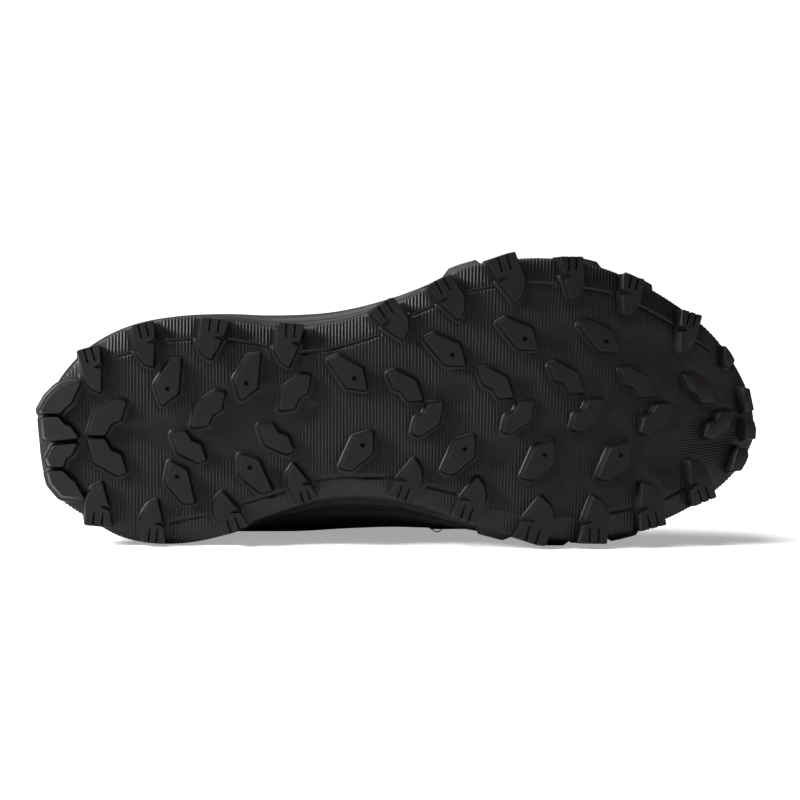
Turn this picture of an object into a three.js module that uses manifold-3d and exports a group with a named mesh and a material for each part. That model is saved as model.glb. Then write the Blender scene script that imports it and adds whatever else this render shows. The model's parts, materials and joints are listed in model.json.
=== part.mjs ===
// A right trail running shoe, lying on its medial side with its sole towards -Y and its toe towards +X.
// It is drawn upright first: x runs from heel to toe, y to the medial side and z up from the ground.
import * as THREE from 'three';
import { mergeVertices } from 'three/addons/utils/BufferGeometryUtils.js';
import Module from 'manifold-3d';

const wasm = await Module();
wasm.setup();

// Driving sizes, in millimetres
const soleLength = 296;
const ballWidth = 115;
const heelWidth = 92;
const instepHeight = 112;          // ground to the top of the throat
const heelHeight = 106;            // ground to the top of the collar behind
const ankleHeight = 89;            // ground to the lowest place of the collar
const tongueHeight = 126;          // ground to the free end of the tongue
const heelStack = 30;              // ground to the footbed, without toe spring
const ballStack = 22;
const toeSpring = 24;
const heelRise = 3;
const lugHeight = 4.5;
const rubberThickness = 3;
const rimRise = 2.5;               // how far the edge of the tread turns up
const trayWall = 6;                // how far the rubber comes up round the foam
const trayEdge = 2.2;              // thickness of that rubber edge
const rimThickness = 3.6;          // foam outside the upper at the top of the midsole
const upperWall = 2.6;
const overlayGap = 0.4;            // between the upper and what lies on it
const overlayThickness = 1.2;
const insoleThickness = 4;
const tongueThickness = 3.4;
const laceWidth = 6;
const laceThickness = 1.6;
const laceHole = 4.4;              // diameter of the lace holes
const clearance = 0.3;
const lugSkirt = 1.4;              // how far a lug is wider at its root than at its top
const restCut = 0.4;               // how far the floor flattens what the shoe lies on

const roundSteps = 44;             // steps round the foot
const upperSteps = 9;              // steps from the sole to the topline

// Outline of the tread, in rows of 10 degrees from the heel at 0 to the toe at 180. x follows the cosine.
// ball says how far the width there follows the ball of the foot rather than the heel.
// lateral and medial are shares of that width.
const treadRows = [
  { ball: 0, lateral: 0.102, medial: 0.102 },
  { ball: 0, lateral: 0.020, medial: 0.324 },
  { ball: 0, lateral: -0.079, medial: 0.435 },
  { ball: 0, lateral: -0.215, medial: 0.518 },
  { ball: 0, lateral: -0.312, medial: 0.608 },
  { ball: 0, lateral: -0.361, medial: 0.639 },
  { ball: 0.1, lateral: -0.358, medial: 0.592 },
  { ball: 0.35, lateral: -0.295, medial: 0.464 },
  { ball: 0.65, lateral: -0.298, medial: 0.371 },
  { ball: 0.9, lateral: -0.357, medial: 0.366 },
  { ball: 1, lateral: -0.467, medial: 0.428 },
  { ball: 1, lateral: -0.503, medial: 0.491 },
  { ball: 1, lateral: -0.491, medial: 0.500 },
  { ball: 1, lateral: -0.432, medial: 0.472 },
  { ball: 1, lateral: -0.345, medial: 0.413 },
  { ball: 1, lateral: -0.248, medial: 0.343 },
  { ball: 1, lateral: -0.131, medial: 0.263 },
  { ball: 1, lateral: -0.014, medial: 0.177 },
  { ball: 1, lateral: 0.106, medial: 0.106 },
];

// Outline of the upper where it meets the foam, in the same columns.
const featherShare = 0.953;        // its length as a share of the sole
const featherRows = [
  { ball: 0, lateral: 0.120, medial: 0.120 },
  { ball: 0, lateral: -0.022, medial: 0.260 },
  { ball: 0, lateral: -0.125, medial: 0.375 },
  { ball: 0, lateral: -0.212, medial: 0.462 },
  { ball: 0, lateral: -0.272, medial: 0.516 },
  { ball: 0, lateral: -0.299, medial: 0.533 },
  { ball: 0.1, lateral: -0.302, medial: 0.498 },
  { ball: 0.35, lateral: -0.290, medial: 0.440 },
  { ball: 0.65, lateral: -0.295, medial: 0.395 },
  { ball: 0.9, lateral: -0.337, medial: 0.380 },
  { ball: 1, lateral: -0.404, medial: 0.404 },
  { ball: 1, lateral: -0.448, medial: 0.438 },
  { ball: 1, lateral: -0.443, medial: 0.450 },
  { ball: 1, lateral: -0.400, medial: 0.428 },
  { ball: 1, lateral: -0.332, medial: 0.384 },
  { ball: 1, lateral: -0.248, medial: 0.324 },
  { ball: 1, lateral: -0.148, medial: 0.257 },
  { ball: 1, lateral: -0.030, medial: 0.182 },
  { ball: 1, lateral: 0.100, medial: 0.100 },
];

// Side of the midsole from the rubber's edge to its rim. height is a share of the way up, outset a share of the
// rim's thickness.
const sideRows = [
  { height: 0.0, outset: 0.0 },
  { height: 0.3, outset: 0.2 },
  { height: 0.52, outset: -0.3 },
  { height: 0.8, outset: 0.2 },
  { height: 1.0, outset: 0.0 },
];

// Height of the rim above the footbed, as a share of the ball stack
const rimRows = [
  { angle: 0, rise: 0.52 },
  { angle: 50, rise: 0.46 },
  { angle: 90, rise: 0.26 },
  { angle: 125, rise: 0.3 },
  { angle: 160, rise: 0.36 },
  { angle: 180, rise: 0.42 },
];

// Topline of the upper at each angle round the foot. along is a share of half the sole length from its middle,
// lateral and medial are shares of half the ball width from the foot's own middle line, and height says which
// named height share is a share of.
const toplineRows = [
  { angle: 0, along: -0.905, lateral: 0.0, medial: 0.0, height: 'heel', share: 1.0 },
  { angle: 15, along: -0.885, lateral: 0.2, medial: 0.2, height: 'heel', share: 0.99 },
  { angle: 30, along: -0.82, lateral: 0.36, medial: 0.36, height: 'heel', share: 0.95 },
  { angle: 45, along: -0.68, lateral: 0.475, medial: 0.475, height: 'ankle', share: 1.05 },
  { angle: 60, along: -0.5, lateral: 0.53, medial: 0.54, height: 'ankle', share: 1.0 },
  { angle: 72, along: -0.33, lateral: 0.51, medial: 0.52, height: 'ankle', share: 1.05 },
  { angle: 84, along: -0.19, lateral: 0.42, medial: 0.43, height: 'instep', share: 0.94 },
  { angle: 94, along: -0.11, lateral: 0.335, medial: 0.335, height: 'instep', share: 1.0 },
  { angle: 106, along: 0.0, lateral: 0.3, medial: 0.3, height: 'instep', share: 0.94 },
  { angle: 120, along: 0.12, lateral: 0.27, medial: 0.27, height: 'instep', share: 0.855 },
  { angle: 136, along: 0.23, lateral: 0.235, medial: 0.235, height: 'instep', share: 0.77 },
  { angle: 152, along: 0.31, lateral: 0.18, medial: 0.18, height: 'instep', share: 0.715 },
  { angle: 166, along: 0.345, lateral: 0.1, medial: 0.1, height: 'instep', share: 0.69 },
  { angle: 180, along: 0.355, lateral: 0.0, medial: 0.0, height: 'instep', share: 0.685 },
];

// Lean of the wall between the sole and the topline. lift places the lower handle of each curve as a share of
// the instep height, lateral and medial push it out by shares of the ball width. reach and fall place the
// upper handle as shares of the curve's own span and rise, lateralHigh and medialHigh push it out as well.
const wallRows = [
  { angle: 0, lift: 0.28, lateral: 0.065, medial: 0.065,
    reach: -0.5, fall: 0.5, lateralHigh: 0, medialHigh: 0 },
  { angle: 30, lift: 0.27, lateral: 0.09, medial: 0.08,
    reach: 0.05, fall: 0.5, lateralHigh: 0.02, medialHigh: 0.01 },
  { angle: 60, lift: 0.31, lateral: 0.14, medial: 0.14,
    reach: 0.1, fall: 0.42, lateralHigh: 0.05, medialHigh: 0.12 },
  { angle: 78, lift: 0.3, lateral: 0.11, medial: 0.19,
    reach: 0.25, fall: 0.36, lateralHigh: 0.04, medialHigh: 0.17 },
  { angle: 94, lift: 0.28, lateral: 0.08, medial: 0.2,
    reach: 0.42, fall: 0.28, lateralHigh: 0.01, medialHigh: 0.12 },
  { angle: 110, lift: 0.24, lateral: 0.06, medial: 0.11,
    reach: 0.5, fall: 0.2, lateralHigh: 0, medialHigh: 0.04 },
  { angle: 136, lift: 0.21, lateral: 0.05, medial: 0.05,
    reach: 0.5, fall: 0.16, lateralHigh: 0, medialHigh: 0 },
  { angle: 160, lift: 0.23, lateral: 0.04, medial: 0.04,
    reach: 0.52, fall: 0.12, lateralHigh: 0, medialHigh: 0 },
  { angle: 180, lift: 0.25, lateral: 0.04, medial: 0.04,
    reach: 0.54, fall: 0.1, lateralHigh: 0, medialHigh: 0 },
];

// Lower and upper edge of each overlay, in steps between the footbed and the topline
const toeCapRows = [
  { angle: 126, low: 1.07, high: 1.55 },
  { angle: 145, low: 1.07, high: 2.3 },
  { angle: 165, low: 1.07, high: 3.1 },
  { angle: 180, low: 1.07, high: 3.4 },
];
const heelCounterRows = [
  { angle: 0, low: 1.07, high: 6.2 },
  { angle: 16, low: 1.07, high: 5.9 },
  { angle: 34, low: 1.07, high: 4.2 },
  { angle: 50, low: 1.07, high: 1.9 },
];
const eyestayRows = [
  { angle: 90, low: 7.5, high: 8.93 },
  { angle: 120, low: 7.45, high: 8.93 },
  { angle: 150, low: 7.7, high: 8.93 },
  { angle: 180, low: 8.0, high: 8.93 },
];
const eyestayStart = 91;
const laceAngles = [97, 107.5, 119, 131, 146];
const laceLevel = 8.2;

// Shapes of the lugs, in shares of the lug size. A pin lug is a slanted block, an arrow lug a bent one.
const lugSize = 18;
const pinLug = [[0.333, -0.467], [0.333, 0.028], [-0.161, 0.417], [-0.406, 0.356], [-0.1, -0.333]];
const arrowLug = [
  [-0.361, -0.3], [-0.178, -0.361], [0.278, -0.133], [0.428, 0.311], [0.094, 0.328], [-0.039, 0.106],
  [-0.233, 0.044],
];
// along is a share of the sole length from the heel, across a share of the ball width from the middle
const pinLugPlaces = [
  { along: 0.184, across: -0.068, flip: false, turn: 161 },
  { along: 0.293, across: -0.087, flip: false, turn: 161 },
  { along: 0.199, across: 0.298, flip: true, turn: 191 },
  { along: 0.301, across: 0.264, flip: true, turn: 180 },
  { along: 0.431, across: -0.098, flip: true, turn: -10 },
  { along: 0.565, across: -0.179, flip: true, turn: -16 },
  { along: 0.665, across: -0.236, flip: true, turn: -16 },
  { along: 0.778, across: -0.228, flip: true, turn: -14 },
  { along: 0.444, across: 0.184, flip: false, turn: 0 },
  { along: 0.584, across: 0.198, flip: false, turn: 0 },
  { along: 0.694, across: 0.218, flip: false, turn: 0 },
  { along: 0.800, across: 0.220, flip: false, turn: 0 },
];
const arrowLugPlaces = [
  { along: 0.507, across: -0.048, flip: false, turn: 0, scale: 1 },
  { along: 0.632, across: -0.059, flip: false, turn: 0, scale: 1 },
  { along: 0.730, across: -0.077, flip: false, turn: 0, scale: 1 },
  { along: 0.829, across: -0.063, flip: false, turn: 0, scale: 1 },
  { along: 0.917, across: -0.040, flip: false, turn: 3, scale: 0.95 },
  { along: 0.538, across: 0.066, flip: true, turn: -8, scale: 1 },
  { along: 0.663, across: 0.059, flip: true, turn: -6, scale: 1 },
  { along: 0.759, across: 0.052, flip: true, turn: -5, scale: 1 },
  { along: 0.855, across: 0.065, flip: true, turn: -3, scale: 1 },
  { along: 0.945, across: 0.088, flip: true, turn: -3, scale: 0.92 },
  { along: 0.101, across: 0.199, flip: false, turn: 183, scale: 1.17 },
  { along: 0.213, across: 0.164, flip: false, turn: 180, scale: 1 },
  { along: 0.333, across: 0.135, flip: false, turn: 178, scale: 1 },
  { along: 0.101, across: 0.064, flip: true, turn: 177, scale: 1.15 },
  { along: 0.240, across: 0.033, flip: true, turn: 172, scale: 1.08 },
  { along: 0.359, across: -0.026, flip: true, turn: 170, scale: 1.05 },
];

// An edge lug runs from its inner tip out over the rim. Its corners are [share of reach, share of width, on
// the rim].
const edgeLug = [
  [0, 0, false], [0.13, 0.33, false], [0.39, 0.54, false], [1, 0.5, true], [1, -0.5, true], [0.51, -0.3, false],
];
const edgeNotch = [[0.46, -0.42], [0.63, -0.42], [0.55, 0.02]];
// reach and width are shares of the lug size
const edgeLugPlaces = [
  { along: 0.092, across: 0.294, turn: 95.4, hand: -1, reach: 0.99, width: 0.64 },
  { along: 0.168, across: 0.355, turn: 95.9, hand: -1, reach: 0.96, width: 0.57 },
  { along: 0.258, across: 0.326, turn: 71.2, hand: -1, reach: 0.92, width: 0.63 },
  { along: 0.356, across: 0.227, turn: 69.7, hand: -1, reach: 0.92, width: 0.53 },
  { along: 0.522, across: 0.210, turn: 110.3, hand: 1, reach: 0.97, width: 0.59 },
  { along: 0.609, across: 0.275, turn: 109.4, hand: 1, reach: 1.01, width: 0.61 },
  { along: 0.698, across: 0.345, turn: 106.9, hand: 1, reach: 1.05, width: 0.76 },
  { along: 0.769, across: 0.340, turn: 91.5, hand: 1, reach: 1.09, width: 0.66 },
  { along: 0.837, across: 0.293, turn: 76.2, hand: 1, reach: 1.08, width: 0.63 },
  { along: 0.904, across: 0.214, turn: 69, hand: 1, reach: 1.04, width: 0.59 },
  { along: 0.090, across: -0.027, turn: -105.9, hand: 1, reach: 1.06, width: 0.54 },
  { along: 0.162, across: -0.118, turn: -104, hand: 1, reach: 1.01, width: 0.55 },
  { along: 0.241, across: -0.143, turn: -82.5, hand: 1, reach: 0.93, width: 0.64 },
  { along: 0.349, across: -0.118, turn: -86.6, hand: 1, reach: 0.98, width: 0.62 },
  { along: 0.506, across: -0.213, turn: -122.2, hand: -1, reach: 0.94, width: 0.67 },
  { along: 0.583, across: -0.285, turn: -117.9, hand: -1, reach: 1.0, width: 0.64 },
  { along: 0.661, across: -0.343, turn: -107.9, hand: -1, reach: 1.12, width: 0.69 },
  { along: 0.738, across: -0.354, turn: -90, hand: -1, reach: 0.99, width: 0.54 },
  { along: 0.811, across: -0.301, turn: -75.2, hand: -1, reach: 0.92, width: 0.52 },
  { along: 0.891, across: -0.167, turn: -73.3, hand: -1, reach: 0.98, width: 0.49 },
];

// Blocks round the back of the heel, corners in shares of the heel width from the heel's edge and middle.
const heelBlocks = [
  [[0.148, -0.08], [0.198, -0.074], [0.159, 0.01], [0.125, 0.038], [0.109, 0.059], [0.033, 0.059],
    [0.018, 0.049], [0.051, -0.009], [0.097, -0.054]],
  [[0.027, 0.078], [0.1, 0.076], [0.131, 0.111], [0.155, 0.117], [0.191, 0.168], [0.085, 0.18], [0.035, 0.167]],
  [[0.074, 0.204], [0.184, 0.193], [0.16, 0.244], [0.133, 0.257], [0.124, 0.295], [0.064, 0.296], [0.046, 0.261]],
  [[0.053, 0.318], [0.12, 0.314], [0.157, 0.352], [0.173, 0.36], [0.217, 0.437], [0.115, 0.425], [0.066, 0.369]],
];
// Blocks round the toe. Their corners are [share of the sole length from the heel, share of the ball width from
// the middle, on the rim].
const toeBlocks = [
  [[0.955, -0.197, true], [0.963, -0.173, true], [0.970, -0.142, true], [0.965, -0.122, false],
    [0.955, -0.122, false]],
  [[0.974, 0.167, false], [0.988, 0.176, true], [0.990, 0.201, true], [0.986, 0.225, true], [0.979, 0.255, true],
    [0.965, 0.259, false]],
  [[0.982, -0.045, false], [0.991, -0.043, true], [0.998, 0.038, true], [0.984, 0.045, false]],
  [[0.984, 0.068, false], [0.998, 0.074, true], [1.001, 0.105, true], [1.000, 0.142, true],
    [0.984, 0.142, false]],
];

// Raised blocks on the side of the midsole, from and to are angles, sides as in the outline
const sideBlocks = [
  { side: 'lateral', from: 98, to: 103 },
  { side: 'lateral', from: 120, to: 124 },
  { side: 'lateral', from: 129, to: 135 },
  { side: 'medial', from: 103, to: 108 },
  { side: 'medial', from: 114, to: 118 },
  { side: 'medial', from: 126, to: 132 },
];
const sideBlockProud = 2.2;
const sideBlockSink = 3;
const sideBlockHeights = [0.06, 0.5];   // shares of the way from the rubber's edge to the rim

const mix = (a, b, t) => a + (b - a) * t;
const clamp = (t) => Math.min(1, Math.max(0, t));
const smooth = (t) => clamp(t) ** 2 * (3 - 2 * clamp(t));
const radians = (degrees) => degrees * Math.PI / 180;

// Smooth curve through four evenly spaced values, between the middle two
function spline(a, b, c, d, t) {
  return b + 0.5 * t * (c - a + t * (2 * a - 5 * b + 4 * c - d + t * (3 * (b - c) + d - a)));
}

// Value of one column of a table at an angle from 0 to 180, smooth between its rows
function column(rows, key, angle) {
  const last = rows.length - 1;
  let i = 0;
  while (i < last - 1 && angle > rows[i + 1].angle) i += 1;
  const t = clamp((angle - rows[i].angle) / (rows[i + 1].angle - rows[i].angle));
  const before = rows[Math.max(0, i - 1)][key];
  const after = rows[Math.min(last, i + 2)][key];
  return spline(before, rows[i][key], rows[i + 1][key], after, t);
}

// Outlines: a round angle of 0 to 360 goes from the heel along the medial side to the toe and back laterally
const rowStep = 10;
function outlineY(rows, round) {
  const valueAt = (index) => {
    const turn = ((index * rowStep) % 360 + 360) % 360;
    const row = rows[(turn <= 180 ? turn : 360 - turn) / rowStep];
    return (turn <= 180 ? row.medial : row.lateral) * mix(heelWidth, ballWidth, row.ball);
  };
  const place = round / rowStep;
  const i = Math.floor(place);
  return spline(valueAt(i - 1), valueAt(i), valueAt(i + 1), valueAt(i + 2), place - i);
}
function outlinePoint(rows, lengthShare, round) {
  return new THREE.Vector2(-Math.cos(radians(round)) * soleLength / 2 * lengthShare, outlineY(rows, round));
}
// Point on the outline between the tread and the feather line, moved in along its own normal
function footOutline(round, toFeather, inset) {
  const at = (angle) => {
    const feather = outlinePoint(featherRows, featherShare, angle);
    return outlinePoint(treadRows, 1, angle).lerp(feather, toFeather);
  };
  const tangent = at(round + 1).sub(at(round - 1)).normalize();
  return at(round).add(new THREE.Vector2(tangent.y, -tangent.x).multiplyScalar(inset));
}

// Heights of the sole at a place along it
const springStart = 0.135 * soleLength;
const springLength = soleLength / 2 - springStart;
function groundLift(x) {
  const forward = Math.max(0, x - springStart) / springLength;
  const back = Math.max(0, -x - 0.415 * soleLength) / (0.085 * soleLength);
  return toeSpring * forward ** 2.1 + heelRise * back ** 2;
}
const treadBase = (x) => groundLift(x) + lugHeight;
const footbed = (x) => groundLift(x) * 0.85 + mix(heelStack, ballStack, smooth((x / soleLength + 0.2) / 0.36));
const sideAngle = (round) => (round <= 180 ? round : 360 - round);
const rimHeight = (round, x) => footbed(x) + ballStack * column(rimRows, 'rise', sideAngle(round));

// How far the tread turns up near its edge, from 0 at its crease line to 1 at the edge
const creaseInset = 12;
const edgeTurn = (inset) => clamp(1 - inset / creaseInset) ** 2;
const rounds = Array.from({ length: roundSteps }, (_, i) => i * 360 / roundSteps);

// A closed ring of points round the foot; height is worked out at each point
function ring(toFeather, inset, height) {
  return rounds.map((round) => {
    const at = footOutline(round, toFeather, inset);
    return new THREE.Vector3(at.x, at.y, height(at.x, round));
  });
}

// Geometry from a list of points and triangles, with shared points merged
function geometryOf(points, triangles) {
  const geometry = new THREE.BufferGeometry();
  geometry.setAttribute('position', new THREE.Float32BufferAttribute(points.flatMap((p) => [p.x, p.y, p.z]), 3));
  geometry.setIndex(triangles.flat());
  return mergeVertices(geometry, 0.001);
}

// A solid through rings that turn the same way; its first and last ring are closed straight across the foot
function ringLoft(rings, closedRound = false) {
  const count = rings[0].length;
  const points = rings.flat();
  const triangles = [];
  const bands = closedRound ? rings.length : rings.length - 1;
  for (let r = 0; r < bands; r += 1) {
    for (let i = 0; i < count; i += 1) {
      const j = (i + 1) % count;
      const a = r * count;
      const b = ((r + 1) % rings.length) * count;
      if (i < count / 2) triangles.push([a + i, b + j, a + j], [a + i, b + i, b + j]);
      else triangles.push([a + i, b + i, a + j], [a + j, b + i, b + j]);
    }
  }
  if (!closedRound) {
    const half = count / 2;
    const top = (rings.length - 1) * count;
    for (let i = 0; i < half; i += 1) {
      const medial = [i, i + 1];
      const lateral = [(count - i) % count, count - i - 1];
      triangles.push([medial[0], medial[1], lateral[1]], [top + medial[0], top + lateral[1], top + medial[1]]);
      if (i > 0) {
        triangles.push([medial[0], lateral[1], lateral[0]]);
        triangles.push([top + medial[0], top + lateral[0], top + lateral[1]]);
      }
    }
  }
  return tidyTriangles(geometryOf(points, triangles));
}

// Drops triangles that merging has closed to a line
function tidyTriangles(geometry) {
  const index = geometry.index.array;
  const kept = [];
  for (let i = 0; i < index.length; i += 3) {
    const [a, b, c] = [index[i], index[i + 1], index[i + 2]];
    if (a !== b && b !== c && c !== a) kept.push(a, b, c);
  }
  geometry.setIndex(kept);
  return geometry;
}

function solidOf(geometry) {
  return new wasm.Manifold(new wasm.Mesh({
    numProp: 3,
    vertProperties: new Float32Array(geometry.attributes.position.array),
    triVerts: new Uint32Array(geometry.index.array),
  }));
}

function geometryFrom(solid) {
  const mesh = solid.getMesh();
  const geometry = new THREE.BufferGeometry();
  geometry.setAttribute('position', new THREE.BufferAttribute(new Float32Array(mesh.vertProperties), 3));
  geometry.setIndex(new THREE.BufferAttribute(new Uint32Array(mesh.triVerts), 1));
  return geometry;
}

// A block between two outlines with the same number of corners, the lower one nearer the ground
function block(lower, upper) {
  const count = lower.length;
  const flat = lower.map((p) => new THREE.Vector2(p.x, p.y));
  const turned = THREE.ShapeUtils.area(flat) < 0;
  const low = turned ? [...lower].reverse() : lower;
  const high = turned ? [...upper].reverse() : upper;
  const cap = THREE.ShapeUtils.triangulateShape(low.map((p) => new THREE.Vector2(p.x, p.y)), []);
  const triangles = [];
  for (const [a, b, c] of cap) triangles.push([a, c, b], [count + a, count + b, count + c]);
  for (let i = 0; i < count; i += 1) {
    const j = (i + 1) % count;
    triangles.push([i, j, count + j], [i, count + j, count + i]);
  }
  return solidOf(geometryOf([...low, ...high], triangles));
}

// Corners of a shape moved outwards by a distance, each along the middle of its two edges
function widened(corners, distance) {
  const sign = Math.sign(THREE.ShapeUtils.area(corners.map((p) => new THREE.Vector2(p.x, p.y))));
  return corners.map((corner, i) => {
    const before = corners[(i + corners.length - 1) % corners.length];
    const after = corners[(i + 1) % corners.length];
    const normal = (from, to) => {
      const edge = new THREE.Vector2(to.x - from.x, to.y - from.y).normalize();
      return new THREE.Vector2(edge.y, -edge.x).multiplyScalar(sign);
    };
    const sum = normal(before, corner).add(normal(corner, after)).normalize();
    const stretch = Math.min(1.5, 1 / Math.max(0.5, sum.dot(normal(before, corner))));
    return new THREE.Vector2(corner.x + sum.x * distance * stretch, corner.y + sum.y * distance * stretch);
  });
}

// A lug hangs from the tread, its top parallel to the ground line of the sole. Corners on the rim run up its
// side.
const rootSink = 1;                // how far a lug's root is sunk in the tread
const rimRoot = 4.5;               // how far it runs up the side from the rim
const notchRoot = 0.4;             // what a notch leaves of the lug's height
function lug(corners) {
  const roots = widened(corners, lugSkirt);
  const lower = corners.map((p) => new THREE.Vector3(p.x, p.y, groundLift(p.x)));
  const upper = corners.map((p, i) => (p.onRim
    ? new THREE.Vector3(p.x, p.y, treadBase(p.x) + rimRise + rimRoot)
    : new THREE.Vector3(roots[i].x, roots[i].y, treadBase(roots[i].x) + rootSink)));
  return block(lower, upper);
}

function placed(shape, place) {
  const turn = radians(place.turn);
  const size = lugSize * (place.scale ?? 1);
  const x = (place.along - 0.5) * soleLength;
  const y = place.across * ballWidth;
  return shape.map(([a, b]) => {
    const across = place.flip ? -b : b;
    return {
      x: x + size * (a * Math.cos(turn) - across * Math.sin(turn)),
      y: y + size * (a * Math.sin(turn) + across * Math.cos(turn)),
      onRim: false,
    };
  });
}
function placedEdge(shape, place) {
  const turn = radians(place.turn);
  const out = new THREE.Vector2(Math.cos(turn), Math.sin(turn));
  const aside = new THREE.Vector2(out.y, -out.x).multiplyScalar(place.hand);
  const x = (place.along - 0.5) * soleLength;
  const y = place.across * ballWidth;
  return shape.map(([t, s, onRim]) => ({
    x: x + lugSize * (out.x * t * place.reach + aside.x * s * place.width),
    y: y + lugSize * (out.y * t * place.reach + aside.y * s * place.width),
    onRim: Boolean(onRim),
  }));
}

// Outsole: a rubber tray with every lug joined to it
const trayTop = (x) => treadBase(x) + rimRise + trayWall;
function outsole() {
  const tread = (inset) => ring(0, inset, (x) => treadBase(x) + rimRise * edgeTurn(inset));
  const form = ringLoft([
    tread(creaseInset),
    tread(creaseInset * 0.4),
    tread(1),
    ring(0, 0, (x) => treadBase(x) + rimRise + 1),
    ring(0, 0, trayTop),
  ]);
  const bed = ringLoft([
    ring(0, creaseInset, (x) => treadBase(x) + rubberThickness),
    ring(0, trayEdge, (x) => treadBase(x) + rimRise + rubberThickness),
    ring(0, trayEdge, (x) => trayTop(x) + 1),
  ]);
  const heelMiddle = -soleLength / 2;
  const fromHeel = ([a, b]) => ({ x: heelMiddle + a * heelWidth, y: b * heelWidth, onRim: false });
  const fromToe = ([a, b, onRim]) => ({ x: (a - 0.5) * soleLength, y: b * ballWidth, onRim });
  const lugs = [
    ...pinLugPlaces.map((place) => placed(pinLug, place)),
    ...arrowLugPlaces.map((place) => placed(arrowLug, place)),
    ...edgeLugPlaces.map((place) => placedEdge(edgeLug, place)),
    ...heelBlocks.map((corners) => corners.map(fromHeel)),
    ...toeBlocks.map((corners) => corners.map(fromToe)),
  ];
  let solid = solidOf(form);
  for (const corners of lugs) solid = solid.add(lug(corners));
  solid = solid.subtract(solidOf(bed));
  for (const place of edgeLugPlaces) {
    const corners = placedEdge(edgeNotch, place);
    const below = corners.map((p) => new THREE.Vector3(p.x, p.y, groundLift(p.x) - 1));
    const above = corners.map((p) => new THREE.Vector3(p.x, p.y, treadBase(p.x) - notchRoot));
    solid = solid.subtract(block(below, above));
  }
  return solid;
}

// Curve of the upper's outer face at one place round the foot, from the footbed to the topline
const middleY = (x) => {
  const share = Math.acos(Math.min(1, Math.max(-1, -x / (soleLength / 2 * featherShare)))) * 180 / Math.PI;
  return (outlineY(featherRows, share) + outlineY(featherRows, 360 - share)) / 2;
};
const toplineHeights = { heel: heelHeight, ankle: ankleHeight, instep: instepHeight };
function toplinePoint(round) {
  const angle = sideAngle(round);
  const side = round <= 180 ? 'medial' : 'lateral';
  const rows = toplineRows.map((row) => ({ ...row, top: row.share * toplineHeights[row.height] }));
  const x = column(rows, 'along', angle) * soleLength / 2;
  const halfWidth = Math.max(0, column(rows, side, angle)) * ballWidth / 2;
  return new THREE.Vector3(x, middleY(x) + (round <= 180 ? halfWidth : -halfWidth), column(rows, 'top', angle));
}
function wallCurve(round) {
  const angle = sideAngle(round);
  const foot = outlinePoint(featherRows, featherShare, round);
  const start = new THREE.Vector3(foot.x, foot.y, footbed(foot.x) + clearance);
  const end = toplinePoint(round);
  const tangent = outlinePoint(featherRows, featherShare, round + 1)
    .sub(outlinePoint(featherRows, featherShare, round - 1)).normalize();
  const out = new THREE.Vector3(-tangent.y, tangent.x, 0);
  const side = round <= 180 ? 'medial' : 'lateral';
  const low = start.clone().addScaledVector(out, column(wallRows, side, angle) * ballWidth);
  low.z += column(wallRows, 'lift', angle) * instepHeight;
  const across = new THREE.Vector3(start.x - end.x, start.y - end.y, 0);
  const high = end.clone().addScaledVector(across, column(wallRows, 'reach', angle));
  high.addScaledVector(out, column(wallRows, `${side}High`, angle) * ballWidth);
  high.z -= column(wallRows, 'fall', angle) * (end.z - start.z);
  return new THREE.CubicBezierCurve3(start, low, high, end);
}

// Share along the curve where it leaves the rim of the midsole
function rimShare(round) {
  const curve = wallCurve(round);
  let [low, high] = [0, 0.6];
  for (let i = 0; i < 24; i += 1) {
    const middle = (low + high) / 2;
    const at = curve.getPoint(middle);
    if (at.z < rimHeight(round, at.x)) low = middle;
    else high = middle;
  }
  return low;
}

// Level 0 is the footbed, 1 the rim and upperSteps the topline
function levelShare(round, level) {
  const rim = rimShare(round);
  return level <= 1 ? rim * level : mix(rim, 1, (level - 1) / (upperSteps - 1));
}
// Point of the upper's outer face, pushed out along its normal
function upperPoint(round, level, push) {
  const share = levelShare(round, level);
  const curve = wallCurve(round);
  const at = curve.getPoint(share);
  if (push === 0) return at;
  const up = curve.getPoint(Math.min(1, share + 0.02)).sub(curve.getPoint(Math.max(0, share - 0.02)));
  const along = wallCurve(round + 1.5).getPoint(share).sub(wallCurve(round - 1.5).getPoint(share));
  return at.addScaledVector(up.cross(along).normalize(), push);
}
const upperLevels = Array.from({ length: upperSteps + 1 }, (_, i) => i);
const upperRing = (level, push) => rounds.map((round) => upperPoint(round, level, push));

function upper() {
  const outer = upperLevels.map((level) => upperRing(level, 0));
  const inner = upperLevels.map((level) => upperRing(level, -upperWall)).reverse();
  return solidOf(ringLoft([...outer, ...inner], true));
}

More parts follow.
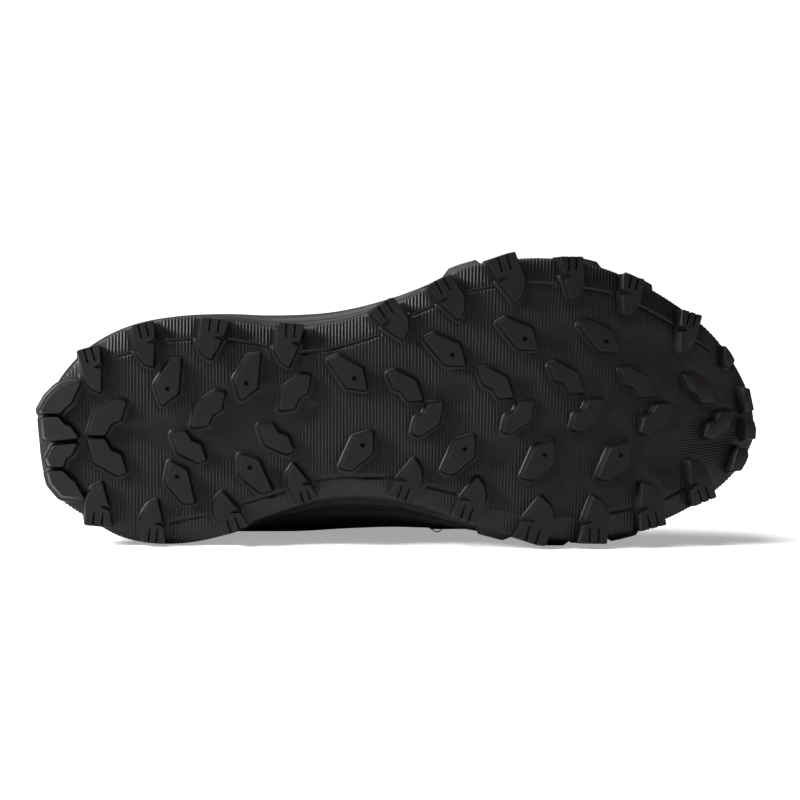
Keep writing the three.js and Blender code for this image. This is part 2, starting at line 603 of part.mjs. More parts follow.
// Midsole: foam in the tray, its side stepped by the side table, with a rim round the upper
function rimRing(push) {
  return rounds.map((round) => {
    const at = upperPoint(round, 1, 0);
    const foot = upperPoint(round, 1, push);
    const out = new THREE.Vector2(foot.x - at.x, foot.y - at.y).normalize().multiplyScalar(push);
    return new THREE.Vector3(at.x + out.x, at.y + out.y, at.z);
  });
}
function sideRing(height, outset) {
  const rim = rimRing(rimThickness + outset);
  const tray = ring(0, -outset, (x) => trayTop(x) + clearance);
  return rounds.map((_, i) => tray[i].clone().lerp(rim[i], height));
}
function midsole() {
  const inTray = trayEdge + clearance;
  const foam = ringLoft([
    ring(0, creaseInset, (x) => treadBase(x) + rubberThickness + clearance),
    ring(0, inTray, (x) => treadBase(x) + rimRise + rubberThickness + clearance),
    ring(0, inTray, (x) => trayTop(x) + clearance),
    ...sideRows.map((row) => sideRing(row.height, row.outset * rimThickness)),
    rimRing(clearance),
    ring(1, -clearance, footbed),
  ]);
  let solid = solidOf(foam);
  const sign = { medial: 1, lateral: -1 };
  for (const { side, from, to } of sideBlocks) {
    const corner = (angle, height, out) => {
      const round = side === 'medial' ? angle : 360 - angle;
      const low = footOutline(round, 0, -out);
      return new THREE.Vector3(low.x, low.y, mix(trayTop(low.x) + clearance, rimHeight(round, low.x), height));
    };
    const section = (height) => [
      corner(from, height, sideBlockProud),
      corner((from + to) / 2, height, sideBlockProud),
      corner(to, height, sideBlockProud),
      corner(to, height, -sideBlockSink),
      corner(from, height, -sideBlockSink),
    ];
    solid = solid.add(block(...sideBlockHeights.map(section)));
  }
  return solid;
}

function insole() {
  const edge = upperWall + 3 * clearance;
  const at = (inset, height) => ring(1, inset, (x) => footbed(x) + clearance + height);
  return solidOf(ringLoft([at(edge, 0), at(edge, insoleThickness)]));
}

// A closed solid between two grids of points that have the same rows and columns
function solidBetween(front, back) {
  const [rows, columns] = [front.length, front[0].length];
  const points = [...front.flat(), ...back.flat()];
  const triangles = [];
  const quad = (a, b, c, d) => triangles.push([a, b, c], [a, c, d]);
  const at = (layer, r, c) => (layer * rows + r) * columns + c;
  for (let r = 0; r < rows - 1; r += 1) {
    for (let c = 0; c < columns - 1; c += 1) {
      quad(at(0, r, c), at(0, r, c + 1), at(0, r + 1, c + 1), at(0, r + 1, c));
      quad(at(1, r, c), at(1, r + 1, c), at(1, r + 1, c + 1), at(1, r, c + 1));
    }
    quad(at(0, r, 0), at(0, r + 1, 0), at(1, r + 1, 0), at(1, r, 0));
    quad(at(0, r, columns - 1), at(1, r, columns - 1), at(1, r + 1, columns - 1), at(0, r + 1, columns - 1));
  }
  for (let c = 0; c < columns - 1; c += 1) {
    quad(at(0, 0, c), at(1, 0, c), at(1, 0, c + 1), at(0, 0, c + 1));
    quad(at(0, rows - 1, c), at(0, rows - 1, c + 1), at(1, rows - 1, c + 1), at(1, rows - 1, c));
  }
  const volume = triangles.reduce((sum, [a, b, c]) => (
    sum + points[a].dot(new THREE.Vector3().crossVectors(points[b], points[c]))), 0);
  const facing = volume > 0 ? triangles : triangles.map(([a, b, c]) => [a, c, b]);
  return solidOf(geometryOf(points, facing));
}

// Point between two levels of the upper, on the straight line that its wall has there
function wallPoint(round, level, push) {
  const below = Math.min(upperSteps - 1, Math.floor(level));
  return upperPoint(round, below, push).lerp(upperPoint(round, below + 1, push), level - below);
}

// An overlay is cut from a skin that lies on the whole upper, between a lower and an upper edge
function overlay(rows, from, to) {
  const outside = upperLevels.map((level) => upperRing(level, overlayGap + overlayThickness));
  const inside = upperLevels.map((level) => upperRing(level, overlayGap)).reverse();
  const skin = solidOf(ringLoft([...outside, ...inside], true));
  const turns = [from, ...rounds.flatMap((round) => [round, round - 360]).sort((p, q) => p - q)
    .filter((round) => round > from && round < to), to];
  const cutter = (push) => turns.map((turn) => {
    const round = (turn + 360) % 360;
    const low = column(rows, 'low', sideAngle(round));
    const high = column(rows, 'high', sideAngle(round));
    const levels = [low, ...upperLevels.map((level) => mix(low, high, level / upperSteps)).slice(1, -1), high];
    return levels.map((level) => wallPoint(round, level, push));
  });
  return skin.intersect(solidBetween(cutter(4 * overlayThickness), cutter(-2 * overlayThickness)));
}

// Tongue: under the throat it follows the inside of the upper, and it stands free above the last lace
const tongueAngles = [96, 104, 113, 123, 134, 147, 160];
const tongueArch = 0.022 * ballWidth;
const tongueHalfWidth = 0.3;
const tongueFlat = 158;            // the angle in front of which the tongue lies flat under the throat
const tongueTopWidth = 0.66;       // its free end against its width under the first lace
const tongueBack = 0.085 * soleLength;       // how far its free end stands behind the first lace
const tongueCurl = 0.02 * soleLength;        // how far the corners of the free end come forward
const tongueDip = 0.05 * instepHeight;       // and how far they lie below its middle
const tongueHalfway = 0.45;                  // where the row between the free end and the first lace lies
const underUpper = -(upperWall + 2 * clearance);
function tongue() {
  const section = (angle) => {
    const depth = underUpper - (angle > tongueFlat ? 4 * clearance : 0);
    const side = (round) => [7.9, 8.5, 9].map((level) => wallPoint(round, level, depth));
    const medial = side(angle);
    const lateral = side(360 - angle).reverse();
    const crown = [0.25, 0.5, 0.75].map((t) => {
      const point = medial[2].clone().lerp(lateral[0], t);
      point.z += tongueArch * 4 * t * (1 - t) * clamp((tongueFlat - angle) / 40);
      return point;
    });
    return [...medial, ...crown, ...lateral];
  };
  const noseSteps = [-4, -3, -2, -1, 0, 1, 2, 3, 4];
  const nose = noseSteps.map((step) => wallPoint(180 + step * 360 / roundSteps, 8, underUpper - 2 * clearance));
  const top = section(tongueAngles[0]);
  const middle = top[4];
  const free = top.map((point) => {
    const aside = (point.y - middle.y) / (tongueHalfWidth * ballWidth);
    return new THREE.Vector3(
      middle.x - tongueBack + tongueCurl * aside ** 2,
      middle.y + (point.y - middle.y) * tongueTopWidth,
      tongueHeight - tongueDip * aside ** 2,
    );
  });
  const half = top.map((point, i) => {
    const between = point.clone().lerp(free[i], tongueHalfway);
    between.y = middle.y + (point.y - middle.y) * tongueTopWidth;
    return between;
  });
  const grid = [free, half, ...tongueAngles.map(section), nose];
  const under = grid.map((row, r) => row.map((point, c) => {
    const along = grid[Math.min(grid.length - 1, r + 1)][c].clone().sub(grid[Math.max(0, r - 1)][c]);
    const wide = row[Math.min(row.length - 1, c + 1)].clone().sub(row[Math.max(0, c - 1)]);
    const normal = along.cross(wide).normalize();
    return point.clone().addScaledVector(normal, normal.z > 0 ? -tongueThickness : tongueThickness);
  }));
  return solidBetween(grid, under);
}

// Laces: flat bars that cross over the tongue from hole to hole, joined where they cross
const laceLift = overlayGap + overlayThickness + 2 * clearance + laceThickness / 2;
const laceShift = 0.2;             // the share of its run along the throat that a lace has made at the edge
const laceArch = 0.6;              // arch of a lace against the arch of the tongue
function laceBar(medialAngle, lateralAngle) {
  const stop = (round, level) => {
    const at = wallPoint(round, level, laceLift);
    return { at, up: at.clone().sub(wallPoint(round, level, 0)).normalize() };
  };
  const medial = [stop(medialAngle, laceLevel), stop(mix(medialAngle, lateralAngle, laceShift), 9)];
  const turned = 360 - mix(lateralAngle, medialAngle, laceShift);
  const lateral = [stop(turned, 9), stop(360 - lateralAngle, laceLevel)];
  const middle = {
    at: medial[1].at.clone().lerp(lateral[0].at, 0.5).add(new THREE.Vector3(0, 0, tongueArch * laceArch)),
    up: medial[1].up.clone().add(lateral[0].up).normalize(),
  };
  const stops = [...medial, middle, ...lateral];
  const layer = (offset) => stops.map(({ at, up }, i) => {
    const along = stops[Math.min(stops.length - 1, i + 1)].at.clone().sub(stops[Math.max(0, i - 1)].at);
    const wide = along.cross(up).normalize();
    const normal = wide.clone().cross(stops[Math.min(stops.length - 1, i + 1)].at.clone()
      .sub(stops[Math.max(0, i - 1)].at)).normalize();
    return [-0.5, 0.5].map((share) => (
      at.clone().addScaledVector(wide, share * laceWidth).addScaledVector(normal, offset)));
  });
  return solidBetween(layer(laceThickness / 2), layer(-laceThickness / 2));
}
function laces() {
  let solid = laceBar(laceAngles.at(-1), laceAngles.at(-1));
  for (let i = 0; i < laceAngles.length - 1; i += 1) {
    solid = solid.add(laceBar(laceAngles[i], laceAngles[i + 1]));
    solid = solid.add(laceBar(laceAngles[i + 1], laceAngles[i]));
  }
  return solid;
}

// Lace holes go through the eyestay and the upper
function withLaceHoles(solid) {
  let holed = solid;
  for (const angle of laceAngles) {
    for (const round of [angle, 360 - angle]) {
      const at = wallPoint(round, laceLevel, 0);
      const up = wallPoint(round, laceLevel, 1).sub(at).normalize();
      const punch = new THREE.CylinderGeometry(laceHole / 2, laceHole / 2, 4 * upperWall, 6);
      punch.deleteAttribute('normal');
      punch.deleteAttribute('uv');
      punch.applyQuaternion(new THREE.Quaternion().setFromUnitVectors(new THREE.Vector3(0, 1, 0), up));
      punch.translate(at.x, at.y, at.z);
      holed = holed.subtract(solidOf(mergeVertices(punch, 0.001)));
    }
  }
  return holed;
}

const finishes = {
  rubber: { color: 0x2b292a, roughness: 0.7, metalness: 0 },
  foam: { color: 0x26262a, roughness: 0.6, metalness: 0 },
  mesh: { color: 0x1b1718, roughness: 0.9, metalness: 0 },
  overlay: { color: 0x222123, roughness: 0.55, metalness: 0 },
  lining: { color: 0x2a2829, roughness: 0.95, metalness: 0 },
  lace: { color: 0x1d1d1f, roughness: 0.85, metalness: 0 },
};
const capStart = toeCapRows[0].angle;
const counterEnd = heelCounterRows.at(-1).angle;
const toeCap = overlay(toeCapRows, capStart, 360 - capStart);
const heelCounter = overlay(heelCounterRows, -counterEnd, counterEnd);
const eyestay = overlay(eyestayRows, eyestayStart, 360 - eyestayStart);
const pieces = [
  { name: 'outsole', solid: outsole(), finish: 'rubber' },
  { name: 'midsole', solid: midsole(), finish: 'foam' },
  { name: 'insole', solid: insole(), finish: 'lining' },
  { name: 'upper', solid: withLaceHoles(upper()), finish: 'mesh' },
  { name: 'toe_cap', solid: toeCap, finish: 'overlay' },
  { name: 'heel_counter', solid: heelCounter, finish: 'overlay' },
  { name: 'eyestay', solid: withLaceHoles(eyestay), finish: 'overlay' },
  { name: 'tongue', solid: tongue(), finish: 'mesh' },
  { name: 'laces', solid: laces(), finish: 'lace' },
];

// The floor plane is y = at + slopeX x + slopeZ z. Over the shoe's middle it is the lowest one that all the
// shoe's points lie inside.
const points = pieces.flatMap(({ solid }) => {
  const mesh = solid.getMesh();
  return Array.from({ length: mesh.numVert }, (_, i) => mesh.vertProperties.slice(i * 3, i * 3 + 3));
});
const middleHeight = 0.3 * instepHeight;
const reachOf = (slopeX, slopeZ) => points.reduce((most, [x, y, z]) => (
  Math.max(most, y - slopeX * x - slopeZ * (z - middleHeight))), -Infinity);
function lowest(measure) {
  let [low, high] = [-0.3, 0.3];
  while (high - low > 1e-5) {
    const [a, b] = [low + (high - low) / 3, high - (high - low) / 3];
    if (measure(a) < measure(b)) high = b;
    else low = a;
  }
  return (low + high) / 2;
}
const bestX = (slopeZ) => lowest((slopeX) => reachOf(slopeX, slopeZ));
const slopeZ = lowest((slope) => reachOf(bestX(slope), slope));
const slopeX = bestX(slopeZ);
const floorNormal = new THREE.Vector3(-slopeX, 1, -slopeZ).normalize();
const floorPoint = new THREE.Vector3(0, reachOf(slopeX, slopeZ), middleHeight);
floorPoint.addScaledVector(floorNormal, -restCut);

// Turns the upright shoe so that the floor's side faces down and the toe points along +X
const up = floorNormal.clone().negate();
const forward = new THREE.Vector3(1, 0, 0).projectOnPlane(up).normalize();
const lying = new THREE.Matrix4().makeBasis(forward, up.clone().cross(forward), up).transpose();

// What lies on the floor is flattened there a little, as foam and rubber are
const slab = new THREE.BoxGeometry(2 * soleLength, 2 * soleLength, soleLength).translate(0, 0, -soleLength / 2);
slab.deleteAttribute('normal');
slab.deleteAttribute('uv');
slab.applyMatrix4(lying.clone().transpose()).translate(floorPoint.x, floorPoint.y, floorPoint.z);
const floor = solidOf(mergeVertices(slab, 0.001));

const shoe = new THREE.Group();
for (const { name, solid, finish } of pieces) {
  const material = new THREE.MeshStandardMaterial(finishes[finish]);
  const mesh = new THREE.Mesh(geometryFrom(solid.subtract(floor)), material);
  mesh.name = name;
  shoe.add(mesh);
}
shoe.applyMatrix4(lying);
shoe.updateMatrixWorld(true);
const box = new THREE.Box3().setFromObject(shoe, true);
shoe.position.sub(new THREE.Vector3((box.min.x + box.max.x) / 2, (box.min.y + box.max.y) / 2, box.min.z));
export default shoe;
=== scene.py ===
# A right trail running shoe that lies on its medial side, seen straight at its sole
import json
import math

import bmesh
import bpy
import numpy as np
from mathutils import Matrix, Vector


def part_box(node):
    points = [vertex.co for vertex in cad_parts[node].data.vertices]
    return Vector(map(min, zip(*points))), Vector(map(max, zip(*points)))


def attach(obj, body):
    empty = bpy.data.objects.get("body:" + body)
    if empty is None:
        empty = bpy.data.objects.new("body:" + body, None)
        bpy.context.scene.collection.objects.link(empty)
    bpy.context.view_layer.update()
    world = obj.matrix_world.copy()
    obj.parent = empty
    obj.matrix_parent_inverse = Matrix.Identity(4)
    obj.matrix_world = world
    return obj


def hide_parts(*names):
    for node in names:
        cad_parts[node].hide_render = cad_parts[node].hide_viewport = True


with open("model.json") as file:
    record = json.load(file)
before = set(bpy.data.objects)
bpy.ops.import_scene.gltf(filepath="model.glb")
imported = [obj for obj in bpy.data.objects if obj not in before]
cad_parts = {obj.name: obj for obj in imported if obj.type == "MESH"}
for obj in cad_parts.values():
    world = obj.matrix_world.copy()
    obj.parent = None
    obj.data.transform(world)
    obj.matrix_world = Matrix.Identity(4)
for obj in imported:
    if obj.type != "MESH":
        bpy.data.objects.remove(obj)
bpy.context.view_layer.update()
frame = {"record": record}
print("frame loaded")

# Sizes of the shoe in millimetres, as it stands: x to the toe, y to the medial side, z up from the ground
shoe = {
    "soleLength": 296, "ballWidth": 115, "heelWidth": 92, "instepHeight": 112, "heelHeight": 106,
    "ankleHeight": 89, "tongueHeight": 126, "heelStack": 30, "ballStack": 22, "toeSpring": 24, "heelRise": 3,
    "lugHeight": 4.5, "rubberThickness": 3, "rimRise": 2.5, "trayWall": 6, "trayEdge": 2.2, "rimThickness": 3.6,
    "upperWall": 2.6, "overlayGap": 0.4, "overlayThickness": 1.2, "insoleThickness": 4, "tongueThickness": 3.4,
    "laceWidth": 6, "laceThickness": 1.6, "laceHole": 4.4, "clearance": 0.3, "lugSkirt": 1.4, "lugSize": 18,
    "featherShare": 0.953, "creaseInset": 12, "upperSteps": 9,
}

# Outlines by angle round the foot in steps of 10 degrees, from the heel at 0 to the toe at 180.
# ball: how far the width follows the ball rather than the heel; lateral and medial: shares of that width.
ballFollow = [0, 0, 0, 0, 0, 0, 0.1, 0.35, 0.65, 0.9] + [1] * 9
treadRows = {
    "ball": ballFollow,
    "lateral": [0.102, 0.020, -0.079, -0.215, -0.312, -0.361, -0.358, -0.295, -0.298, -0.357, -0.467, -0.503,
                -0.491, -0.432, -0.345, -0.248, -0.131, -0.014, 0.106],
    "medial": [0.102, 0.324, 0.435, 0.518, 0.608, 0.639, 0.592, 0.464, 0.371, 0.366, 0.428, 0.491, 0.500, 0.472,
               0.413, 0.343, 0.263, 0.177, 0.106],
}
featherRows = {
    "ball": ballFollow,
    "lateral": [0.120, -0.022, -0.125, -0.212, -0.272, -0.299, -0.302, -0.290, -0.295, -0.337, -0.404, -0.448,
                -0.443, -0.400, -0.332, -0.248, -0.148, -0.030, 0.100],
    "medial": [0.120, 0.260, 0.375, 0.462, 0.516, 0.533, 0.498, 0.440, 0.395, 0.380, 0.404, 0.438, 0.450, 0.428,
               0.384, 0.324, 0.257, 0.182, 0.100],
}
# Side of the midsole: height from the rubber's edge to the rim, outset in shares of the rim's thickness
sideRows = {"height": [0.0, 0.3, 0.52, 0.8, 1.0], "outset": [0.0, 0.2, -0.3, 0.2, 0.0]}
rimRows = {"angle": [0, 50, 90, 125, 160, 180], "rise": [0.52, 0.46, 0.26, 0.3, 0.36, 0.42]}
# Topline of the upper: along in half sole lengths, across in half ball widths, up in shares of a named height
toplineRows = {
    "angle": [0, 15, 30, 45, 60, 72, 84, 94, 106, 120, 136, 152, 166, 180],
    "along": [-0.905, -0.885, -0.82, -0.68, -0.5, -0.33, -0.19, -0.11, 0.0, 0.12, 0.23, 0.31, 0.345, 0.355],
    "lateral": [0, 0.2, 0.36, 0.475, 0.53, 0.51, 0.42, 0.335, 0.3, 0.27, 0.235, 0.18, 0.1, 0],
    "medial": [0, 0.2, 0.36, 0.475, 0.54, 0.52, 0.43, 0.335, 0.3, 0.27, 0.235, 0.18, 0.1, 0],
    "share": [1, 0.99, 0.95, 1.05, 1, 1.05, 0.94, 1, 0.94, 0.855, 0.77, 0.715, 0.69, 0.685],
    "height": ["heel"] * 3 + ["ankle"] * 3 + ["instep"] * 8,
}
toplineRows["up"] = [share * shoe[name + "Height"] for share, name in zip(toplineRows["share"], toplineRows["height"])]
# Lean of the wall: handles of each curve from the sole to the topline
wallRows = {
    "angle": [0, 30, 60, 78, 94, 110, 136, 160, 180],
    "lift": [0.28, 0.27, 0.31, 0.3, 0.28, 0.24, 0.21, 0.23, 0.25],
    "lateral": [0.065, 0.09, 0.14, 0.11, 0.08, 0.06, 0.05, 0.04, 0.04],
    "medial": [0.065, 0.08, 0.14, 0.19, 0.2, 0.11, 0.05, 0.04, 0.04],
    "reach": [-0.5, 0.05, 0.1, 0.25, 0.42, 0.5, 0.5, 0.52, 0.54],
    "fall": [0.5, 0.5, 0.42, 0.36, 0.28, 0.2, 0.16, 0.12, 0.1],
    "lateralHigh": [0, 0.02, 0.05, 0.04, 0.01, 0, 0, 0, 0],
    "medialHigh": [0, 0.01, 0.12, 0.17, 0.12, 0.04, 0, 0, 0],
}


def mixed(a, b, t):
    return a + (b - a) * t


def smooth(t):
    t = np.clip(t, 0, 1)
    return t * t * (3 - 2 * t)


def bump(distance, width):  # 1 at no distance, 0 at the width and beyond
    return 1 - smooth(np.abs(distance) / width)


def spline(a, b, c, d, t):
    return b + 0.5 * t * (c - a + t * (2 * a - 5 * b + 4 * c - d + t * (3 * (b - c) + d - a)))


def column(rows, key, angle):
    angles = np.asarray(rows["angle"], float)
    values = np.asarray(rows[key], float)
    last = len(angles) - 1
    i = np.clip(np.searchsorted(angles, angle, side="left") - 1, 0, last - 1)
    t = np.clip((angle - angles[i]) / (angles[i + 1] - angles[i]), 0, 1)
    return spline(values[np.maximum(i - 1, 0)], values[i], values[i + 1], values[np.minimum(i + 2, last)], t)


def sideAngle(turn):  # 0 at the heel and 180 at the toe, on both sides
    turn = np.mod(turn, 360)
    return np.where(turn <= 180, turn, 360 - turn)


def outlineY(rows, turn):
    width = mixed(shoe["heelWidth"], shoe["ballWidth"], np.asarray(rows["ball"]))
    medial = np.asarray(rows["medial"]) * width
    lateral = np.asarray(rows["lateral"]) * width
    values = np.concatenate([medial, lateral[-2:0:-1]])
    place = np.mod(turn, 360) / 10
    i = np.floor(place).astype(int)
    return spline(values[(i - 1) % 36], values[i % 36], values[(i + 1) % 36], values[(i + 2) % 36], place - i)


def outlinePoint(rows, lengthShare, turn):
    x = -np.cos(np.radians(turn)) * shoe["soleLength"] / 2 * lengthShare
    return np.stack([x, outlineY(rows, turn)], -1)


def footOutline(turn, toFeather, inset):  # between the tread and the feather line, moved in along its normal
    def at(angle):
        tread = outlinePoint(treadRows, 1, angle)
        return tread + (outlinePoint(featherRows, shoe["featherShare"], angle) - tread) * toFeather

    tangent = at(turn + 1) - at(turn - 1)
    tangent /= np.linalg.norm(tangent, axis=-1, keepdims=True)
    inward = np.stack([tangent[..., 1], -tangent[..., 0]], -1)
    return at(turn) + inward * np.asarray(inset)[..., None]


def groundLift(x):
    start = 0.135 * shoe["soleLength"]
    ahead = np.maximum(0, x - start) / (shoe["soleLength"] / 2 - start)
    back = np.maximum(0, -x - 0.415 * shoe["soleLength"]) / (0.085 * shoe["soleLength"])
    return shoe["toeSpring"] * ahead ** 2.1 + shoe["heelRise"] * back ** 2


def treadBase(x):
    return groundLift(x) + shoe["lugHeight"]


def trayTop(x):
    return treadBase(x) + shoe["rimRise"] + shoe["trayWall"]


def footbed(x):
    drop = smooth((x / shoe["soleLength"] + 0.2) / 0.36)
    return groundLift(x) * 0.85 + mixed(shoe["heelStack"], shoe["ballStack"], drop)


def edgeTurn(inset):
    return np.clip(1 - inset / shoe["creaseInset"], 0, 1) ** 2


def middleY(x):
    reach = shoe["soleLength"] / 2 * shoe["featherShare"]
    angle = np.degrees(np.arccos(np.clip(-x / reach, -1, 1)))
    return (outlineY(featherRows, angle) + outlineY(featherRows, 360 - angle)) / 2


def bySide(turn, medial, lateral):
    return np.where(np.mod(turn, 360) <= 180, medial, lateral)


def wallHandles(turn):  # four points of the upper's curve at each turn
    angle = sideAngle(turn)
    foot = outlinePoint(featherRows, shoe["featherShare"], turn)
    start = np.stack([foot[..., 0], foot[..., 1], footbed(foot[..., 0]) + shoe["clearance"]], -1)
    x = column(toplineRows, "along", angle) * shoe["soleLength"] / 2
    half = bySide(turn, column(toplineRows, "medial", angle), -column(toplineRows, "lateral", angle))
    half = bySide(turn, np.maximum(half, 0), np.minimum(half, 0)) * shoe["ballWidth"] / 2
    end = np.stack([x, middleY(x) + half, column(toplineRows, "up", angle)], -1)
    tangent = (outlinePoint(featherRows, shoe["featherShare"], turn + 1)
               - outlinePoint(featherRows, shoe["featherShare"], turn - 1))
    tangent /= np.linalg.norm(tangent, axis=-1, keepdims=True)
    out = np.stack([-tangent[..., 1], tangent[..., 0], np.zeros_like(x)], -1)
    push = bySide(turn, column(wallRows, "medial", angle), column(wallRows, "lateral", angle))
    pushHigh = bySide(turn, column(wallRows, "medialHigh", angle), column(wallRows, "lateralHigh", angle))
    low = start + out * (push * shoe["ballWidth"])[..., None]
    low[..., 2] += column(wallRows, "lift", angle) * shoe["instepHeight"]
    across = (start - end) * np.array([1, 1, 0])
    high = end + across * column(wallRows, "reach", angle)[..., None] + out * (pushHigh * shoe["ballWidth"])[..., None]
    high[..., 2] -= column(wallRows, "fall", angle) * (end[..., 2] - start[..., 2])
    return start, low, high, end


def wallAt(handles, t):
    t = np.asarray(t)[..., None]
    a, b, c, d = handles
    return a * (1 - t) ** 3 + 3 * b * t * (1 - t) ** 2 + 3 * c * t ** 2 * (1 - t) + d * t ** 3


def rimHeight(turn, x):
    return footbed(x) + shoe["ballStack"] * column(rimRows, "rise", sideAngle(turn))


def rimShare(turn):
    handles = wallHandles(turn)
    low = np.zeros_like(turn, float)
    high = np.full_like(low, 0.6)
    for _ in range(24):
        middle = (low + high) / 2
        at = wallAt(handles, middle)
        below = at[..., 2] < rimHeight(turn, at[..., 0])
        low = np.where(below, middle, low)
        high = np.where(below, high, middle)
    return low


def upperPoint(turn, level, push=0.0):  # level 0 is the footbed, 1 the rim, upperSteps the topline
    turn, level, push = np.broadcast_arrays(np.asarray(turn, float), np.asarray(level, float), np.asarray(push, float))
    rim = rimShare(turn)
    share = np.where(level <= 1, rim * level, mixed(rim, 1, (level - 1) / (shoe["upperSteps"] - 1)))
    handles = wallHandles(turn)
    up = wallAt(handles, np.minimum(1, share + 0.02)) - wallAt(handles, np.maximum(0, share - 0.02))
    along = wallAt(wallHandles(turn + 1.5), share) - wallAt(wallHandles(turn - 1.5), share)
    normal = np.cross(up, along)
    normal /= np.linalg.norm(normal, axis=-1, keepdims=True)
    return wallAt(handles, share) + normal * push[..., None]


# The shoe's place in the frame: its own axes from the tread's mount, its origin from the insole's box
def shoeAxes():
    mounts = {mount["name"]: mount for mount in frame["record"]["mounts"]}
    up = -Vector(mounts["tread_ball"]["axis"]).normalized()
    ahead = Vector((-up.z, 0, up.x)).normalized()
    return Matrix((ahead, up.cross(ahead), up)).transposed()


axes = np.array(shoeAxes())
origin = np.zeros(3)


def toWorld(points):
    return np.asarray(points, float) @ axes.T / 1000 + origin


partTurns = np.arange(44) * 360 / 44
insoleEdge = footOutline(partTurns, 1, np.full(44, shoe["upperWall"] + 3 * shoe["clearance"]))
insoleRings = [np.column_stack([insoleEdge, footbed(insoleEdge[:, 0]) + shoe["clearance"] + height])
               for height in (0, shoe["insoleThickness"])]
origin = np.array(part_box("insole")[0]) - toWorld(np.concatenate(insoleRings)).min(0)


# Mesh helpers
def newObject(name, mesh, material, replaced=()):
    obj = bpy.data.objects.new(name, mesh)
    bpy.context.scene.collection.objects.link(obj)
    for one in material if isinstance(material, (list, tuple)) else [material]:
        mesh.materials.append(one)
    mesh.polygons.foreach_set("use_smooth", [True] * len(mesh.polygons))
    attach(obj, "root")
    for node in replaced:
        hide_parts(node)
    return obj




def sheetMesh(name, points, uv=None, flip=False, merge=False):
    # points[i, j] places the vertices of one grid, in the shoe's millimetres
    across, along = points.shape[0] - 1, points.shape[1] - 1
    bm = bmesh.new()
    bm.loops.layers.uv.new("UVMap")
    bmesh.ops.create_grid(bm, x_segments=across, y_segments=along, size=1, calc_uvs=True)
    mesh = bpy.data.meshes.new(name)
    bm.to_mesh(mesh)
    bm.free()
    flat = np.empty(len(mesh.vertices) * 3)
    mesh.vertices.foreach_get("co", flat)
    flat = flat.reshape(-1, 3)
    i = np.rint((flat[:, 0] + 1) / 2 * across).astype(int)
    j = np.rint((flat[:, 1] + 1) / 2 * along).astype(int)
    mesh.vertices.foreach_set("co", toWorld(points[i, j]).ravel())
    if uv is not None:
        loops = np.empty(len(mesh.loops), int)
        mesh.loops.foreach_get("vertex_index", loops)
        mesh.uv_layers.active.data.foreach_set("uv", uv[i[loops], j[loops]].ravel())
    if flip:
        mesh.flip_normals()
    if merge:
        bm = bmesh.new()
        bm.from_mesh(mesh)
        bmesh.ops.remove_doubles(bm, verts=bm.verts, dist=2e-6)
        bmesh.ops.dissolve_degenerate(bm, edges=bm.edges, dist=1e-7)
        bmesh.ops.recalc_face_normals(bm, faces=bm.faces)
        bm.to_mesh(mesh)
        bm.free()
    mesh.update()
    return mesh


def joined(name, meshes):  # one mesh from several
    bm = bmesh.new()
    for mesh in meshes:
        bm.from_mesh(mesh)
    whole = bpy.data.meshes.new(name)
    bm.to_mesh(whole)
    bm.free()
    for mesh in meshes:
        bpy.data.meshes.remove(mesh)
    return whole


def facingAway(mesh, inside):  # open sheets turn their faces away from a point in the shoe
    bm = bmesh.new()
    bm.from_mesh(mesh)
    middle = Vector(toWorld(np.array(inside, float)))
    bm.normal_update()
    total = sum((face.calc_center_median() - middle).dot(face.normal) * face.calc_area() for face in bm.faces)
    if total < 0:
        bmesh.ops.reverse_faces(bm, faces=bm.faces)
    bm.to_mesh(mesh)
    bm.free()
    return mesh


def closedGrid(name, points, uv=None):  # the grid's first and last rows meet or are pinched shut
    return sheetMesh(name, points, uv=uv, merge=True)


def wrapped(rings):  # repeats the first column of points at the end
    return np.concatenate([rings, rings[:1]], 0)


def sweep(name, path, up, profile, closed=False, uvScale=1.0):
    # profile is a closed list of (aside, up) offsets in millimetres, or one list for each point of the path
    path = np.asarray(path, float)
    ahead = np.roll(path, -1, 0) - np.roll(path, 1, 0)
    if not closed:
        ahead[0] = path[1] - path[0]
        ahead[-1] = path[-1] - path[-2]
    ahead /= np.linalg.norm(ahead, axis=1, keepdims=True)
    aside = np.cross(ahead, up)
    aside /= np.linalg.norm(aside, axis=1, keepdims=True)
    high = np.cross(aside, ahead)
    profile = np.asarray(profile, float)
    if profile.ndim == 2:
        profile = np.repeat(profile[None], len(path), 0)
    rings = path[:, None] + aside[:, None] * profile[..., :1] + high[:, None] * profile[..., 1:]
    rings = np.concatenate([rings, rings[:, :1]], 1)
    if closed:
        rings = wrapped(rings)
    else:
        rings = np.concatenate([np.repeat(path[:1, None], rings.shape[1], 1), rings,
                                np.repeat(path[-1:, None], rings.shape[1], 1)], 0)
    run = np.concatenate([[0], np.cumsum(np.linalg.norm(np.diff(rings[:, 0], axis=0), axis=1))])
    around = np.linspace(0, 1, rings.shape[1])
    uv = np.stack(np.meshgrid(run * uvScale, around, indexing="ij"), -1)
    return sheetMesh(name, rings, uv=uv, merge=True)


def ovalProfile(width, thickness, steps=12, square=2.0):
    turn = np.arange(steps) * 2 * np.pi / steps
    c, s = np.cos(turn), np.sin(turn)
    return np.column_stack([np.sign(c) * np.abs(c) ** (2 / square) * width / 2,
                            np.sign(s) * np.abs(s) ** (2 / square) * thickness / 2])


def smoothPath(points, steps):  # Catmull-Rom through the points
    points = np.asarray(points, float)
    padded = np.concatenate([points[:1] * 2 - points[1:2], points, points[-1:] * 2 - points[-2:-1]])
    parts = []
    t = np.linspace(0, 1, steps, endpoint=False)[:, None]
    for i in range(len(points) - 1):
        parts.append(spline(padded[i], padded[i + 1], padded[i + 2], padded[i + 3], t))
    return np.concatenate(parts + [points[-1:]])


